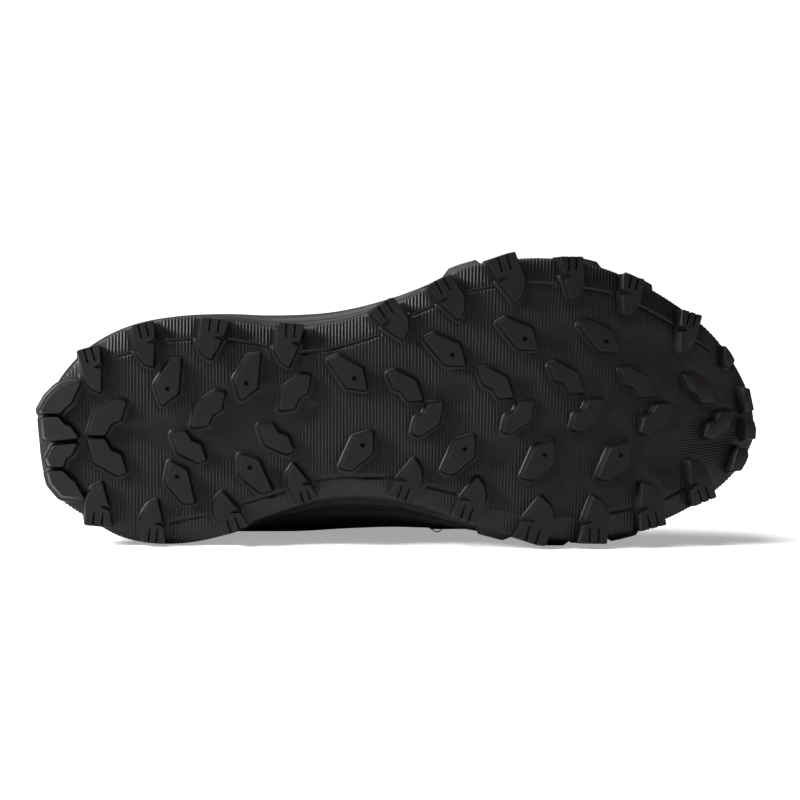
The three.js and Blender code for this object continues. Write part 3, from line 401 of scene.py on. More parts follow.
def signedDistance(points, corners):  # below zero inside the outline
    points = np.asarray(points, float)
    corners = np.asarray(corners, float)
    following = np.roll(corners, -1, 0)
    nearest = np.full(len(points), 1e9)
    inside = np.zeros(len(points), bool)
    for a, b in zip(corners, following):
        edge = b - a
        t = np.clip(((points - a) @ edge) / max(edge @ edge, 1e-9), 0, 1)
        nearest = np.minimum(nearest, np.linalg.norm(points - a - t[:, None] * edge, axis=1))
        crosses = (a[1] > points[:, 1]) != (b[1] > points[:, 1])
        if a[1] != b[1]:
            inside ^= crosses & (points[:, 0] < edge[0] * (points[:, 1] - a[1]) / edge[1] + a[0])
    return np.where(inside, -nearest, nearest)


def nearLine(points, line):  # distance to an open line of points
    nearest = np.full(len(points), 1e9)
    for a, b in zip(line[:-1], line[1:]):
        a, b = np.array(a, float), np.array(b, float)
        t = np.clip(((points - a) @ (b - a)) / ((b - a) @ (b - a)), 0, 1)
        nearest = np.minimum(nearest, np.linalg.norm(points - a - t[:, None] * (b - a), axis=1))
    return nearest


# Materials
def nodeGroup(name, inputs, outputs):
    group = bpy.data.node_groups.new(name, "ShaderNodeTree")
    for label, kind, value in inputs:
        socket = group.interface.new_socket(name=label, in_out="INPUT", socket_type=kind)
        if value is not None:
            socket.default_value = value
    for label, kind in outputs:
        group.interface.new_socket(name=label, in_out="OUTPUT", socket_type=kind)
    return group, group.nodes.new("NodeGroupInput"), group.nodes.new("NodeGroupOutput")


def mathNode(tree, operation, *values):
    node = tree.nodes.new("ShaderNodeMath")
    node.operation = operation
    for socket, value in zip(node.inputs, values):
        if isinstance(value, (int, float)):
            socket.default_value = value
        else:
            tree.links.new(value, socket)
    return node.outputs[0]


def grainGroup():  # fine grain with slow patches, on the shoe's own coordinates
    group, given, out = nodeGroup(
        "fineGrain",
        [("Scale", "NodeSocketFloat", 900.0), ("Patches", "NodeSocketFloat", 30.0)],
        [("Height", "NodeSocketFloat"), ("Patch", "NodeSocketFloat"), ("Pebble", "NodeSocketFloat")])
    place = group.nodes.new("ShaderNodeTexCoord")
    fine = group.nodes.new("ShaderNodeTexNoise")
    slow = group.nodes.new("ShaderNodeTexNoise")
    pebble = group.nodes.new("ShaderNodeTexVoronoi")
    fine.inputs["Detail"].default_value = 3
    slow.inputs["Detail"].default_value = 4
    for node, label in ((fine, "Scale"), (slow, "Patches"), (pebble, "Scale")):
        group.links.new(place.outputs["Object"], node.inputs["Vector"])
        group.links.new(given.outputs[label], node.inputs["Scale"])
    group.links.new(fine.outputs["Fac"], out.inputs["Height"])
    group.links.new(slow.outputs["Fac"], out.inputs["Patch"])
    group.links.new(pebble.outputs["Distance"], out.inputs["Pebble"])
    return group


def meshGroup():  # open knit: round holes in rows that are set off by half, on the piece's UV in millimetres
    group, given, out = nodeGroup(
        "openKnit",
        [("Pitch", "NodeSocketFloat", 2.0), ("Hole", "NodeSocketFloat", 0.3)],
        [("Height", "NodeSocketFloat"), ("Hole", "NodeSocketFloat")])
    place = group.nodes.new("ShaderNodeTexCoord")
    split = group.nodes.new("ShaderNodeSeparateXYZ")
    group.links.new(place.outputs["UV"], split.inputs[0])
    u = mathNode(group, "DIVIDE", split.outputs["X"], given.outputs["Pitch"])
    v = mathNode(group, "DIVIDE", split.outputs["Y"], given.outputs["Pitch"])
    odd = mathNode(group, "MULTIPLY", mathNode(group, "MODULO", mathNode(group, "FLOOR", v), 2.0), 0.5)
    u = mathNode(group, "SUBTRACT", mathNode(group, "FRACT", mathNode(group, "ADD", u, odd)), 0.5)
    v = mathNode(group, "SUBTRACT", mathNode(group, "FRACT", v), 0.5)
    far = mathNode(group, "SQRT", mathNode(group, "ADD", mathNode(group, "MULTIPLY", u, u),
                                           mathNode(group, "MULTIPLY", v, v)))
    ramp = group.nodes.new("ShaderNodeMapRange")
    ramp.interpolation_type = "SMOOTHSTEP"
    group.links.new(far, ramp.inputs["Value"])
    group.links.new(mathNode(group, "MULTIPLY", given.outputs["Hole"], 0.6), ramp.inputs["From Min"])
    group.links.new(mathNode(group, "MULTIPLY", given.outputs["Hole"], 1.3), ramp.inputs["From Max"])
    group.links.new(ramp.outputs["Result"], out.inputs["Height"])
    group.links.new(mathNode(group, "SUBTRACT", 1.0, ramp.outputs["Result"]), out.inputs["Hole"])
    return group


def weaveGroup():  # plain weave of crossing threads on the piece's UV in millimetres
    group, given, out = nodeGroup(
        "threadWeave", [("Pitch", "NodeSocketFloat", 0.8)], [("Height", "NodeSocketFloat")])
    place = group.nodes.new("ShaderNodeTexCoord")
    split = group.nodes.new("ShaderNodeSeparateXYZ")
    group.links.new(place.outputs["UV"], split.inputs[0])
    u = mathNode(group, "MULTIPLY", mathNode(group, "DIVIDE", split.outputs["X"], given.outputs["Pitch"]), math.pi)
    v = mathNode(group, "MULTIPLY", mathNode(group, "DIVIDE", split.outputs["Y"], given.outputs["Pitch"]), math.pi)
    over = mathNode(group, "MULTIPLY", mathNode(group, "SINE", u), mathNode(group, "SINE", v))
    across = mathNode(group, "ABSOLUTE", mathNode(group, "COSINE", mathNode(group, "ADD", u, v)))
    group.links.new(mathNode(group, "ADD", mathNode(group, "MULTIPLY", over, 0.5),
                             mathNode(group, "MULTIPLY", across, 0.5)), out.inputs["Height"])
    return group


groups = {"grain": grainGroup(), "knit": meshGroup(), "weave": weaveGroup()}


def toLinear(colour):  # from 0 to 255 as a screen shows it
    share = np.array(colour) / 255
    return (*np.where(share <= 0.04045, share / 12.92, ((share + 0.055) / 1.055) ** 2.4), 1.0)


finishes = {
    "treadRubber": {"colour": (12, 10, 10), "patch": (17, 15, 15), "roughness": (0.4, 0.52), "grain": 1500,
                    "patches": 35, "depth": 0.00004, "coat": 0.0, "specular": 0.26},
    "lugTop": {"colour": (15, 14, 14), "patch": (20, 18, 18), "roughness": (0.58, 0.72), "grain": 620,
               "patches": 60, "depth": 0.0012, "relief": "Pebble", "coat": 0.0, "specular": 0.35},
    "sideFoam": {"colour": (19, 19, 22), "patch": (24, 24, 27), "roughness": (0.5, 0.62), "grain": 900,
                 "patches": 25, "depth": 0.00006, "coat": 0.0, "specular": 0.35},
    "overlayFilm": {"colour": (14, 14, 15), "patch": (19, 18, 19), "roughness": (0.5, 0.62), "grain": 700,
                    "patches": 40, "depth": 0.0004, "relief": "Pebble", "coat": 0.0, "specular": 0.35},
    # hole is painted shade: a darker colour in the knit's holes, where shade falls
    "knitUpper": {"colour": (26, 23, 24), "patch": (33, 29, 30), "roughness": (0.85, 0.95), "grain": 1800,
                  "patches": 30, "depth": 0.0003, "coat": 0.0, "specular": 0.25, "pattern": "knit", "pitch": 2.1,
                  "hole": (9, 7, 8)},
    "liningCloth": {"colour": (30, 28, 30), "patch": (36, 34, 36), "roughness": (0.88, 0.97), "grain": 2200,
                    "patches": 50, "depth": 0.0002, "coat": 0.0, "specular": 0.2, "pattern": "knit", "pitch": 1.2,
                    "hole": (20, 18, 20)},
    "laceCord": {"colour": (29, 29, 32), "patch": (36, 36, 39), "roughness": (0.75, 0.88), "grain": 2500,
                 "patches": 90, "depth": 0.0002, "coat": 0.0, "specular": 0.3, "pattern": "weave", "pitch": 0.9},
    "ringMetal": {"colour": (38, 38, 40), "patch": (46, 46, 48), "roughness": (0.35, 0.45), "grain": 2000,
                  "patches": 60, "depth": 0.00002, "coat": 0.2, "specular": 0.5},
    "thread": {"colour": (48, 47, 50), "patch": (56, 55, 58), "roughness": (0.6, 0.7), "grain": 3000,
               "patches": 100, "depth": 0.00005, "coat": 0.0, "specular": 0.4},
}


def makeMaterial(name, look):
    material = bpy.data.materials.new(name)
    material.use_nodes = True
    tree = material.node_tree
    surface = tree.nodes["Principled BSDF"]
    surface.inputs["Coat Weight"].default_value = look["coat"]
    surface.inputs["Coat Roughness"].default_value = 0.35
    surface.inputs["Specular IOR Level"].default_value = look["specular"]
    grain = tree.nodes.new("ShaderNodeGroup")
    grain.node_tree = groups["grain"]
    grain.inputs["Scale"].default_value = look["grain"]
    grain.inputs["Patches"].default_value = look["patches"]
    blend = tree.nodes.new("ShaderNodeMix")
    blend.data_type = "RGBA"
    blend.inputs["A"].default_value = toLinear(look["colour"])
    blend.inputs["B"].default_value = toLinear(look["patch"])
    tree.links.new(grain.outputs["Patch"], blend.inputs["Factor"])
    colour = blend.outputs["Result"]
    height = grain.outputs[look.get("relief", "Height")]
    if look.get("pattern"):
        pattern = tree.nodes.new("ShaderNodeGroup")
        pattern.node_tree = groups[look["pattern"]]
        pattern.inputs["Pitch"].default_value = look["pitch"]
        height = mathNode(tree, "ADD", mathNode(tree, "MULTIPLY", height, 0.25), pattern.outputs["Height"])
        # The knit's holes are painted darker: painted shade in the holes
        if "hole" in look:
            deep = tree.nodes.new("ShaderNodeMix")
            deep.data_type = "RGBA"
            deep.inputs["B"].default_value = toLinear(look["hole"])
            tree.links.new(colour, deep.inputs["A"])
            tree.links.new(pattern.outputs["Hole"], deep.inputs["Factor"])
            colour = deep.outputs["Result"]
    tree.links.new(colour, surface.inputs["Base Color"])
    rough = tree.nodes.new("ShaderNodeMapRange")
    rough.inputs["To Min"].default_value, rough.inputs["To Max"].default_value = look["roughness"]
    tree.links.new(grain.outputs["Patch"], rough.inputs["Value"])
    tree.links.new(rough.outputs["Result"], surface.inputs["Roughness"])
    relief = tree.nodes.new("ShaderNodeBump")
    relief.inputs["Distance"].default_value = look["depth"]
    relief.inputs["Strength"].default_value = 1.0
    tree.links.new(height, relief.inputs["Height"])
    tree.links.new(relief.outputs["Normal"], surface.inputs["Normal"])
    return material


materials = {name: makeMaterial(name, look) for name, look in finishes.items()}
print("materials made")

# Lugs of the tread, in shares of the lug size. An edge lug's third value says that the corner lies on the rim.
pinLug = [(0.333, -0.467), (0.333, 0.028), (-0.161, 0.417), (-0.406, 0.356), (-0.1, -0.333)]
arrowLug = [(-0.361, -0.3), (-0.178, -0.361), (0.278, -0.133), (0.428, 0.311), (0.094, 0.328), (-0.039, 0.106),
            (-0.233, 0.044)]
edgeLug = [(0, 0, 0), (0.13, 0.33, 0), (0.39, 0.54, 0), (1, 0.5, 1), (1, -0.5, 1), (0.51, -0.3, 0)]
edgeNotch = [(0.46, -0.42), (0.63, -0.42), (0.55, 0.02)]
# along in shares of the sole length from the heel, across in shares of the ball width, turn in degrees
pinLugs = {
    "along": [0.184, 0.293, 0.199, 0.301, 0.431, 0.565, 0.665, 0.778, 0.444, 0.584, 0.694, 0.800],
    "across": [-0.068, -0.087, 0.298, 0.264, -0.098, -0.179, -0.236, -0.228, 0.184, 0.198, 0.218, 0.220],
    "turn": [161, 161, 191, 180, -10, -16, -16, -14, 0, 0, 0, 0],
    "flip": [0, 0, 1, 1, 1, 1, 1, 1, 0, 0, 0, 0],
}
arrowLugs = {
    "along": [0.507, 0.632, 0.730, 0.829, 0.917, 0.538, 0.663, 0.759, 0.855, 0.945, 0.101, 0.213, 0.333, 0.101,
              0.240, 0.359],
    "across": [-0.048, -0.059, -0.077, -0.063, -0.040, 0.066, 0.059, 0.052, 0.065, 0.088, 0.199, 0.164, 0.135,
               0.064, 0.033, -0.026],
    "turn": [0, 0, 0, 0, 3, -8, -6, -5, -3, -3, 183, 180, 178, 177, 172, 170],
    "flip": [0, 0, 0, 0, 0, 1, 1, 1, 1, 1, 0, 0, 0, 1, 1, 1],
    "scale": [1, 1, 1, 1, 0.95, 1, 1, 1, 1, 0.92, 1.17, 1, 1, 1.15, 1.08, 1.05],
}
edgeLugs = {
    "along": [0.092, 0.168, 0.258, 0.356, 0.522, 0.609, 0.698, 0.769, 0.837, 0.904, 0.090, 0.162, 0.241, 0.349,
              0.506, 0.583, 0.661, 0.738, 0.811, 0.891],
    "across": [0.294, 0.355, 0.326, 0.227, 0.210, 0.275, 0.345, 0.340, 0.293, 0.214, -0.027, -0.118, -0.143,
               -0.118, -0.213, -0.285, -0.343, -0.354, -0.301, -0.167],
    "turn": [95.4, 95.9, 71.2, 69.7, 110.3, 109.4, 106.9, 91.5, 76.2, 69, -105.9, -104, -82.5, -86.6, -122.2,
             -117.9, -107.9, -90, -75.2, -73.3],
    "hand": [-1, -1, -1, -1, 1, 1, 1, 1, 1, 1, 1, 1, 1, 1, -1, -1, -1, -1, -1, -1],
    "reach": [0.99, 0.96, 0.92, 0.92, 0.97, 1.01, 1.05, 1.09, 1.08, 1.04, 1.06, 1.01, 0.93, 0.98, 0.94, 1.0, 1.12,
              0.99, 0.92, 0.98],
    "width": [0.64, 0.57, 0.63, 0.53, 0.59, 0.61, 0.76, 0.66, 0.63, 0.59, 0.54, 0.55, 0.64, 0.62, 0.67, 0.64,
              0.69, 0.54, 0.52, 0.49],
}
# Blocks round the heel in shares of its width, and round the toe in shares of the sole length and the ball width
heelBlocks = [
    [(0.148, -0.08), (0.198, -0.074), (0.159, 0.01), (0.125, 0.038), (0.109, 0.059), (0.033, 0.059),
     (0.018, 0.049), (0.051, -0.009), (0.097, -0.054)],
    [(0.027, 0.078), (0.1, 0.076), (0.131, 0.111), (0.155, 0.117), (0.191, 0.168), (0.085, 0.18), (0.035, 0.167)],
    [(0.074, 0.204), (0.184, 0.193), (0.16, 0.244), (0.133, 0.257), (0.124, 0.295), (0.064, 0.296), (0.046, 0.261)],
    [(0.053, 0.318), (0.12, 0.314), (0.157, 0.352), (0.173, 0.36), (0.217, 0.437), (0.115, 0.425), (0.066, 0.369)],
]
toeBlocks = [
    [(0.955, -0.197, 1), (0.963, -0.173, 1), (0.970, -0.142, 1), (0.965, -0.122, 0), (0.955, -0.122, 0)],
    [(0.974, 0.167, 0), (0.988, 0.176, 1), (0.990, 0.201, 1), (0.986, 0.225, 1), (0.979, 0.255, 1),
     (0.965, 0.259, 0)],
    [(0.982, -0.045, 0), (0.991, -0.043, 1), (0.998, 0.038, 1), (0.984, 0.045, 0)],
    [(0.984, 0.068, 0), (0.998, 0.074, 1), (1.001, 0.105, 1), (1.000, 0.142, 1), (0.984, 0.142, 0)],
]


def turned(shape, turn, flip=0, scale=1.0):
    angle = math.radians(turn)
    a = np.array([corner[0] for corner in shape], float) * shoe["lugSize"] * scale
    b = np.array([corner[1] for corner in shape], float) * shoe["lugSize"] * scale * (-1 if flip else 1)
    return np.column_stack([a * math.cos(angle) - b * math.sin(angle), a * math.sin(angle) + b * math.cos(angle)])


def lugPlace(rows, i):
    return np.array([(rows["along"][i] - 0.5) * shoe["soleLength"], rows["across"][i] * shoe["ballWidth"]])


def placedLug(shape, rows, i):
    return lugPlace(rows, i) + turned(shape, rows["turn"][i], rows["flip"][i], rows.get("scale", [1] * 99)[i])


def edgeAxes(i):
    angle = math.radians(edgeLugs["turn"][i])
    out = np.array([math.cos(angle), math.sin(angle)])
    return out, np.array([out[1], -out[0]]) * edgeLugs["hand"][i]


def placedEdge(shape, i):
    out, aside = edgeAxes(i)
    t = np.array([corner[0] for corner in shape])[:, None] * edgeLugs["reach"][i]
    s = np.array([corner[1] for corner in shape])[:, None] * edgeLugs["width"][i]
    return lugPlace(edgeLugs, i) + shoe["lugSize"] * (t * out + s * aside)


def allLugs():  # corners, which of them lie on the rim, and the kind of each lug
    found = [(placedLug(pinLug, pinLugs, i), [0] * 5, "pin") for i in range(len(pinLugs["along"]))]
    found += [(placedLug(arrowLug, arrowLugs, i), [0] * 7, "arrow") for i in range(len(arrowLugs["along"]))]
    onRim = [corner[2] for corner in edgeLug]
    found += [(placedEdge(edgeLug, i), onRim, "edge") for i in range(len(edgeLugs["along"]))]
    for corners in heelBlocks:
        at = np.array(corners) * shoe["heelWidth"] - np.array([shoe["soleLength"] / 2, 0])
        found.append((at, [0] * len(corners), "heel"))
    for corners in toeBlocks:
        at = np.array([(a - 0.5, b) for a, b, _ in corners]) * np.array([shoe["soleLength"], shoe["ballWidth"]])
        found.append((at, [corner[2] for corner in corners], "toe"))
    return found


lugShape = {"corner": 0.8, "cornerSteps": 4, "bevel": 0.34, "sipeWidth": 0.75, "sipeDepth": 2.6, "holeRadius": 1.05,
            "holeAt": (0.1, -0.156), "holeDepth": 3.0, "notchDepth": 2.6}
# Wall of a lug from its top to below the tread: offset in shares of the skirt, depth in shares of the lug's height
# lean stands each lug square on the tread where the toe springs up, and turns all walls a little to the heel.
lugWall = {"offset": [0, 0, 0, 0.3, 0.5, 0.62, 0.9, 1.35, 1.6], "depth": [0, 0, 0.1, 0.5, 0.82, 0.92, 0.98, 1.01, 1.15],
           "lean": 0.1}


def roundedOutline(corners, onRim):
    count = len(corners)
    if np.sum(corners[:, 0] * np.roll(corners[:, 1], -1) - np.roll(corners[:, 0], -1) * corners[:, 1]) < 0:
        corners = corners[::-1]
        onRim = onRim[::-1]
    points, rims = [], []
    for i in range(count):
        before, corner, after = corners[i - 1], corners[i], corners[(i + 1) % count]
        reach = min(lugShape["corner"], 0.32 * np.linalg.norm(corner - before), 0.32 * np.linalg.norm(after - corner))
        start = corner + (before - corner) / np.linalg.norm(before - corner) * reach
        end = corner + (after - corner) / np.linalg.norm(after - corner) * reach
        for t in np.linspace(0, 1, lugShape["cornerSteps"]):
            points.append(start * (1 - t) ** 2 + 2 * corner * t * (1 - t) + end * t * t)
            rims.append(float(onRim[i]))
        gap = np.linalg.norm(corners[(i + 1) % count] - corner)
        for t in np.linspace(0, 1, max(2, int(gap / 3)) + 1)[1:-1]:
            nextReach = min(lugShape["corner"], 0.32 * gap)
            stop = after + (corner - after) / max(gap, 1e-6) * nextReach
            points.append(mixed(end, stop, t))
            rims.append(mixed(float(onRim[i]), float(onRim[(i + 1) % count]), t))
    return np.array(points), np.array(rims)


def outlineNormals(points):
    ahead = np.roll(points, -1, 0) - np.roll(points, 1, 0)
    ahead /= np.linalg.norm(ahead, axis=1, keepdims=True)
    return np.column_stack([ahead[:, 1], -ahead[:, 0]])


def lugRings(corners, onRim):
    points, rims = roundedOutline(corners, onRim)
    out = outlineNormals(points)
    bevel = lugShape["bevel"]
    rings = []
    for step, (offset, depth) in enumerate(zip(lugWall["offset"], lugWall["depth"])):
        inset = -bevel if step == 0 else (-0.3 * bevel if step == 1 else 0)
        drop = 0 if step == 0 else (0.22 * bevel if step == 1 else 0)
        free = inset + offset * shoe["lugSkirt"]
        held = inset + offset * shoe["lugSkirt"] * 0.1
        at = points + out * mixed(free, held, rims)[:, None]
        ground = groundLift(at[:, 0])
        root = mixed(treadBase(at[:, 0]), treadBase(at[:, 0]) + shoe["rimRise"] + 4.5, rims)
        height = mixed(ground, root, depth) + drop
        slope = groundLift(points[:, 0] + 0.5) - groundLift(points[:, 0] - 0.5)
        at[:, 0] -= (height - ground) * (np.maximum(slope, 0) + lugWall["lean"])
        if step == 2:
            height = ground + bevel
        rings.append(np.column_stack([at, height]))
    return rings


def raiseLug(bm, rings, topMaterial):
    place = bm.verts.layers.int.get("place") or bm.verts.layers.int.new("place")
    made = bmesh.ops.create_circle(bm, cap_ends=True, segments=len(rings[0]), radius=1)
    start = toWorld(rings[0])
    for k, vert in enumerate(made["verts"]):
        vert[place] = k
        vert.co = start[k]
    face = made["verts"][0].link_faces[0]
    face.material_index = topMaterial
    for step, ring in enumerate(rings[1:]):
        made = bmesh.ops.extrude_face_region(bm, geom=[face])
        if step:
            bmesh.ops.delete(bm, geom=[face], context="FACES_ONLY")
        face = next(item for item in made["geom"] if isinstance(item, bmesh.types.BMFace))
        at = toWorld(ring)
        for vert in face.verts:
            vert.co = at[vert[place]]
        face.material_index = 0
        for edge in face.edges:
            for other in edge.link_faces:
                if other != face:
                    other.material_index = topMaterial if step == 0 else 0


def cutterBox(bm, middle, direction, size, floor):  # a box from below the ground up to a height
    angle = math.atan2(direction[1], direction[0])
    low = groundLift(middle[0]) - 2
    made = bmesh.ops.create_cube(bm, size=1)
    bmesh.ops.scale(bm, verts=made["verts"], vec=(size[0], size[1], floor - low))
    bmesh.ops.rotate(bm, verts=made["verts"], matrix=Matrix.Rotation(angle, 3, "Z"))
    bmesh.ops.translate(bm, verts=made["verts"], vec=(middle[0], middle[1], (floor + low) / 2))


def cutterWedge(bm, corners, floor):  # a prism on three corners
    made = bmesh.ops.create_cone(bm, cap_ends=True, segments=3, radius1=1, radius2=1, depth=8)
    first = math.atan2(made["verts"][0].co.y, made["verts"][0].co.x)
    for vert in made["verts"]:
        corner = round((math.atan2(vert.co.y, vert.co.x) - first) / (2 * math.pi / 3)) % 3
        high = vert.co.z > 0
        vert.co = (corners[corner][0], corners[corner][1], floor if high else floor - 8)


def shoeToWorld(bm):  # a bmesh drawn in the shoe's millimetres
    for vert in bm.verts:
        vert.co = toWorld(np.array(vert.co))


def outward(mesh):  # every closed shell's faces turned outwards, its doubled points joined
    bm = bmesh.new()
    bm.from_mesh(mesh)
    bmesh.ops.remove_doubles(bm, verts=bm.verts, dist=0.000002)
    bmesh.ops.dissolve_degenerate(bm, edges=bm.edges, dist=0.000001)
    bmesh.ops.recalc_face_normals(bm, faces=bm.faces)
    bm.to_mesh(mesh)
    bm.free()
    return mesh


def cutAway(mesh, cutter, name):  # exact Boolean difference, applied
    scene = bpy.context.scene
    body = bpy.data.objects.new(name, mesh)
    tool = bpy.data.objects.new(name + "Cutter", cutter)
    for obj in (body, tool):
        scene.collection.objects.link(obj)
    modifier = body.modifiers.new("cut", "BOOLEAN")
    modifier.operation = "DIFFERENCE"
    modifier.solver = "EXACT"
    modifier.use_self = True
    modifier.object = tool
    result = bpy.data.meshes.new_from_object(body.evaluated_get(bpy.context.evaluated_depsgraph_get()))
    for obj in (body, tool):
        data = obj.data
        bpy.data.objects.remove(obj)
        bpy.data.meshes.remove(data)
    result.materials.clear()
    result.name = name
    return outward(result)


def lugCutters():
    bm = bmesh.new()
    for i in range(len(pinLugs["along"])):
        at = placedLug([lugShape["holeAt"]], pinLugs, i)[0]
        floor = groundLift(at[0]) + lugShape["holeDepth"]
        made = bmesh.ops.create_cone(bm, cap_ends=True, segments=24, radius1=lugShape["holeRadius"],
                                     radius2=lugShape["holeRadius"] * 0.85, depth=8)
        bmesh.ops.translate(bm, verts=made["verts"], vec=(at[0], at[1], floor - 4))
    for i in range(len(edgeLugs["along"])):
        out, aside = edgeAxes(i)
        start = lugPlace(edgeLugs, i)
        reach = edgeLugs["reach"][i] * shoe["lugSize"]
        width = edgeLugs["width"][i] * shoe["lugSize"]
        for share in (-0.12, 0.19):
            middle = start + out * (reach * 0.86) + aside * (width * share)
            floor = groundLift(middle[0]) + lugShape["sipeDepth"]
            cutterBox(bm, middle, out, (reach * 0.36, lugShape["sipeWidth"]), floor)
            tip = start + out * (reach * 0.93) + aside * (width * share)
            ends = [tip, *(start + out * (reach * 1.25) + aside * (width * (share + spread)) for spread in (-0.25, 0.25))]
            cutterWedge(bm, ends, groundLift(tip[0]) + shoe["lugHeight"] * 1.1)
        notch = placedEdge(edgeNotch, i)
        cutterWedge(bm, notch, groundLift(notch[:, 0].mean()) + lugShape["notchDepth"])
    bmesh.ops.recalc_face_normals(bm, faces=bm.faces)
    shoeToWorld(bm)
    cutter = bpy.data.meshes.new("lugCutters")
    bm.to_mesh(cutter)
    bm.free()
    return cutter


lugs = allLugs()


def makeLugs():
    bm = bmesh.new()
    for corners, onRim, kind in lugs:
        raiseLug(bm, lugRings(corners, list(onRim)), 1 if kind in ("arrow", "heel") else 0)
    bmesh.ops.recalc_face_normals(bm, faces=bm.faces)
    mesh = bpy.data.meshes.new("lugsWhole")
    bm.to_mesh(mesh)
    bm.free()
    mesh = cutAway(mesh, lugCutters(), "treadLugs")
    obj = newObject("treadLugs", mesh, [materials["treadRubber"], materials["lugTop"]], ["outsole"])
    mesh.set_sharp_from_angle(angle=math.radians(38))
    facing = np.empty(len(mesh.polygons) * 3)
    mesh.polygons.foreach_get("normal", facing)
    onTop = facing.reshape(-1, 3) @ -axes[:, 2] > 0.955
    mesh.polygons.foreach_set("use_smooth", ~onTop)
    return obj


makeLugs()
print("lugs made")

# Skin of the tread between the lugs, with its fine cross ribs
tread = {
    "ribPitch": 1.35, "ribHeight": 0.36, "rowsPerRib": 5, "ribLean": 0.05, "halo": 2.0,
    "toeFrom": 117.0, "toePitch": 1.12, "toeLean": 0.16, "toeFade": 1.2,
    "creaseDepth": 0.55, "creaseWidth": 0.34, "creaseLip": 0.3, "middleColumns": 50, "pocketDepth": 0.12,
    "edgeShares": (0.0, 0.05, 0.11, 0.22, 0.38, 0.58, 0.8, 1.0),
    "creaseColumns": (0.0, 0.45, 0.8, 1.05, 1.3, 1.55, 1.9, 2.5),
}
# Places without ribs: a flame under the heel, and pockets between the lugs (x, y, half length, half width)
heelFlame = [(-115, 12), (-97, 7), (-76, 0), (-58, -7), (-33, 2), (-41, 15), (-56, 26), (-76, 24), (-97, 20)]
treadPockets = [(23, -4.5, 7.5, 5.5), (42, 20, 6, 6.5), (66, -27, 6.8, 5.8), (88, 20, 11, 13), (101, -21.5, 12, 7.5),
                (109, 21.5, 8, 8.5), (52, -8, 5, 4), (64, 12, 5, 5)]
# Crease lines between the edge lugs, heel to toe: x and y of each end
creaseLines = {
    "lateral": [
        [(-117.4, -16.7), (-108, -19.6)], [(-95.8, -23.8), (-82.3, -24.9)], [(-69.7, -24.5), (-50.1, -20.8)],
        [(-40, -19.2), (-26.5, -20.4), (-11.8, -24.9), (-6.9, -26.9)], [(4.9, -34.2), (16.3, -39.1)],
        [(28.1, -44), (40.8, -46.5)], [(53, -47.7), (64, -46.9)], [(75.8, -45.5), (87.6, -43.2)],
        [(98.2, -38.7), (112.9, -31)], [(121.9, -24.5), (128.8, -20.4)],
    ],
    "medial": [
        [(-93.6, 50.1), (-77, 47.3)], [(-64.8, 43.2), (-46.1, 37.1)], [(-34.7, 33), (-20.4, 31.4), (-0.8, 31.8)],
        [(11, 35.1), (24.9, 38.7)], [(37.1, 45.3), (52.6, 48.5)], [(64, 49.3), (75.8, 48.5)],
        [(86, 46.1), (98.2, 44)], [(108.8, 40.8), (119.9, 35.5)],
    ],
}
outlineTurns = np.linspace(0, 360, 1440, endpoint=False)
outlineLine = outlinePoint(treadRows, 1, outlineTurns)


def edgeY(x, side):  # y of the tread's outline at a place along it
    turn = np.degrees(np.arccos(np.clip(-x / (shoe["soleLength"] / 2), -1, 1)))
    return outlineY(treadRows, turn if side == "medial" else 360 - turn)


def outlineInset(points):  # distance in from the tread's outline, worked out in strips to save memory
    found = np.empty(len(points))
    for start in range(0, len(points), 4000):
        block = points[start:start + 4000]
        gap = np.linalg.norm(block[:, None] - outlineLine[None, ::3], axis=2)
        near = gap.argmin(1) * 3
        best = np.full(len(block), 1e9)
        for shift in (-3, 0):
            a = outlineLine[(near + shift) % 1440]
            b = outlineLine[(near + shift + 3) % 1440]
            edge = b - a
            t = np.clip(((block - a) * edge).sum(1) / np.maximum((edge ** 2).sum(1), 1e-9), 0, 1)
            best = np.minimum(best, np.linalg.norm(block - a - t[:, None] * edge, axis=1))
        found[start:start + 4000] = best
    return found


def ribWave(phase):  # rounded ribs with narrower valleys
    return (0.5 + 0.5 * np.cos(2 * np.pi * phase)) ** 0.75


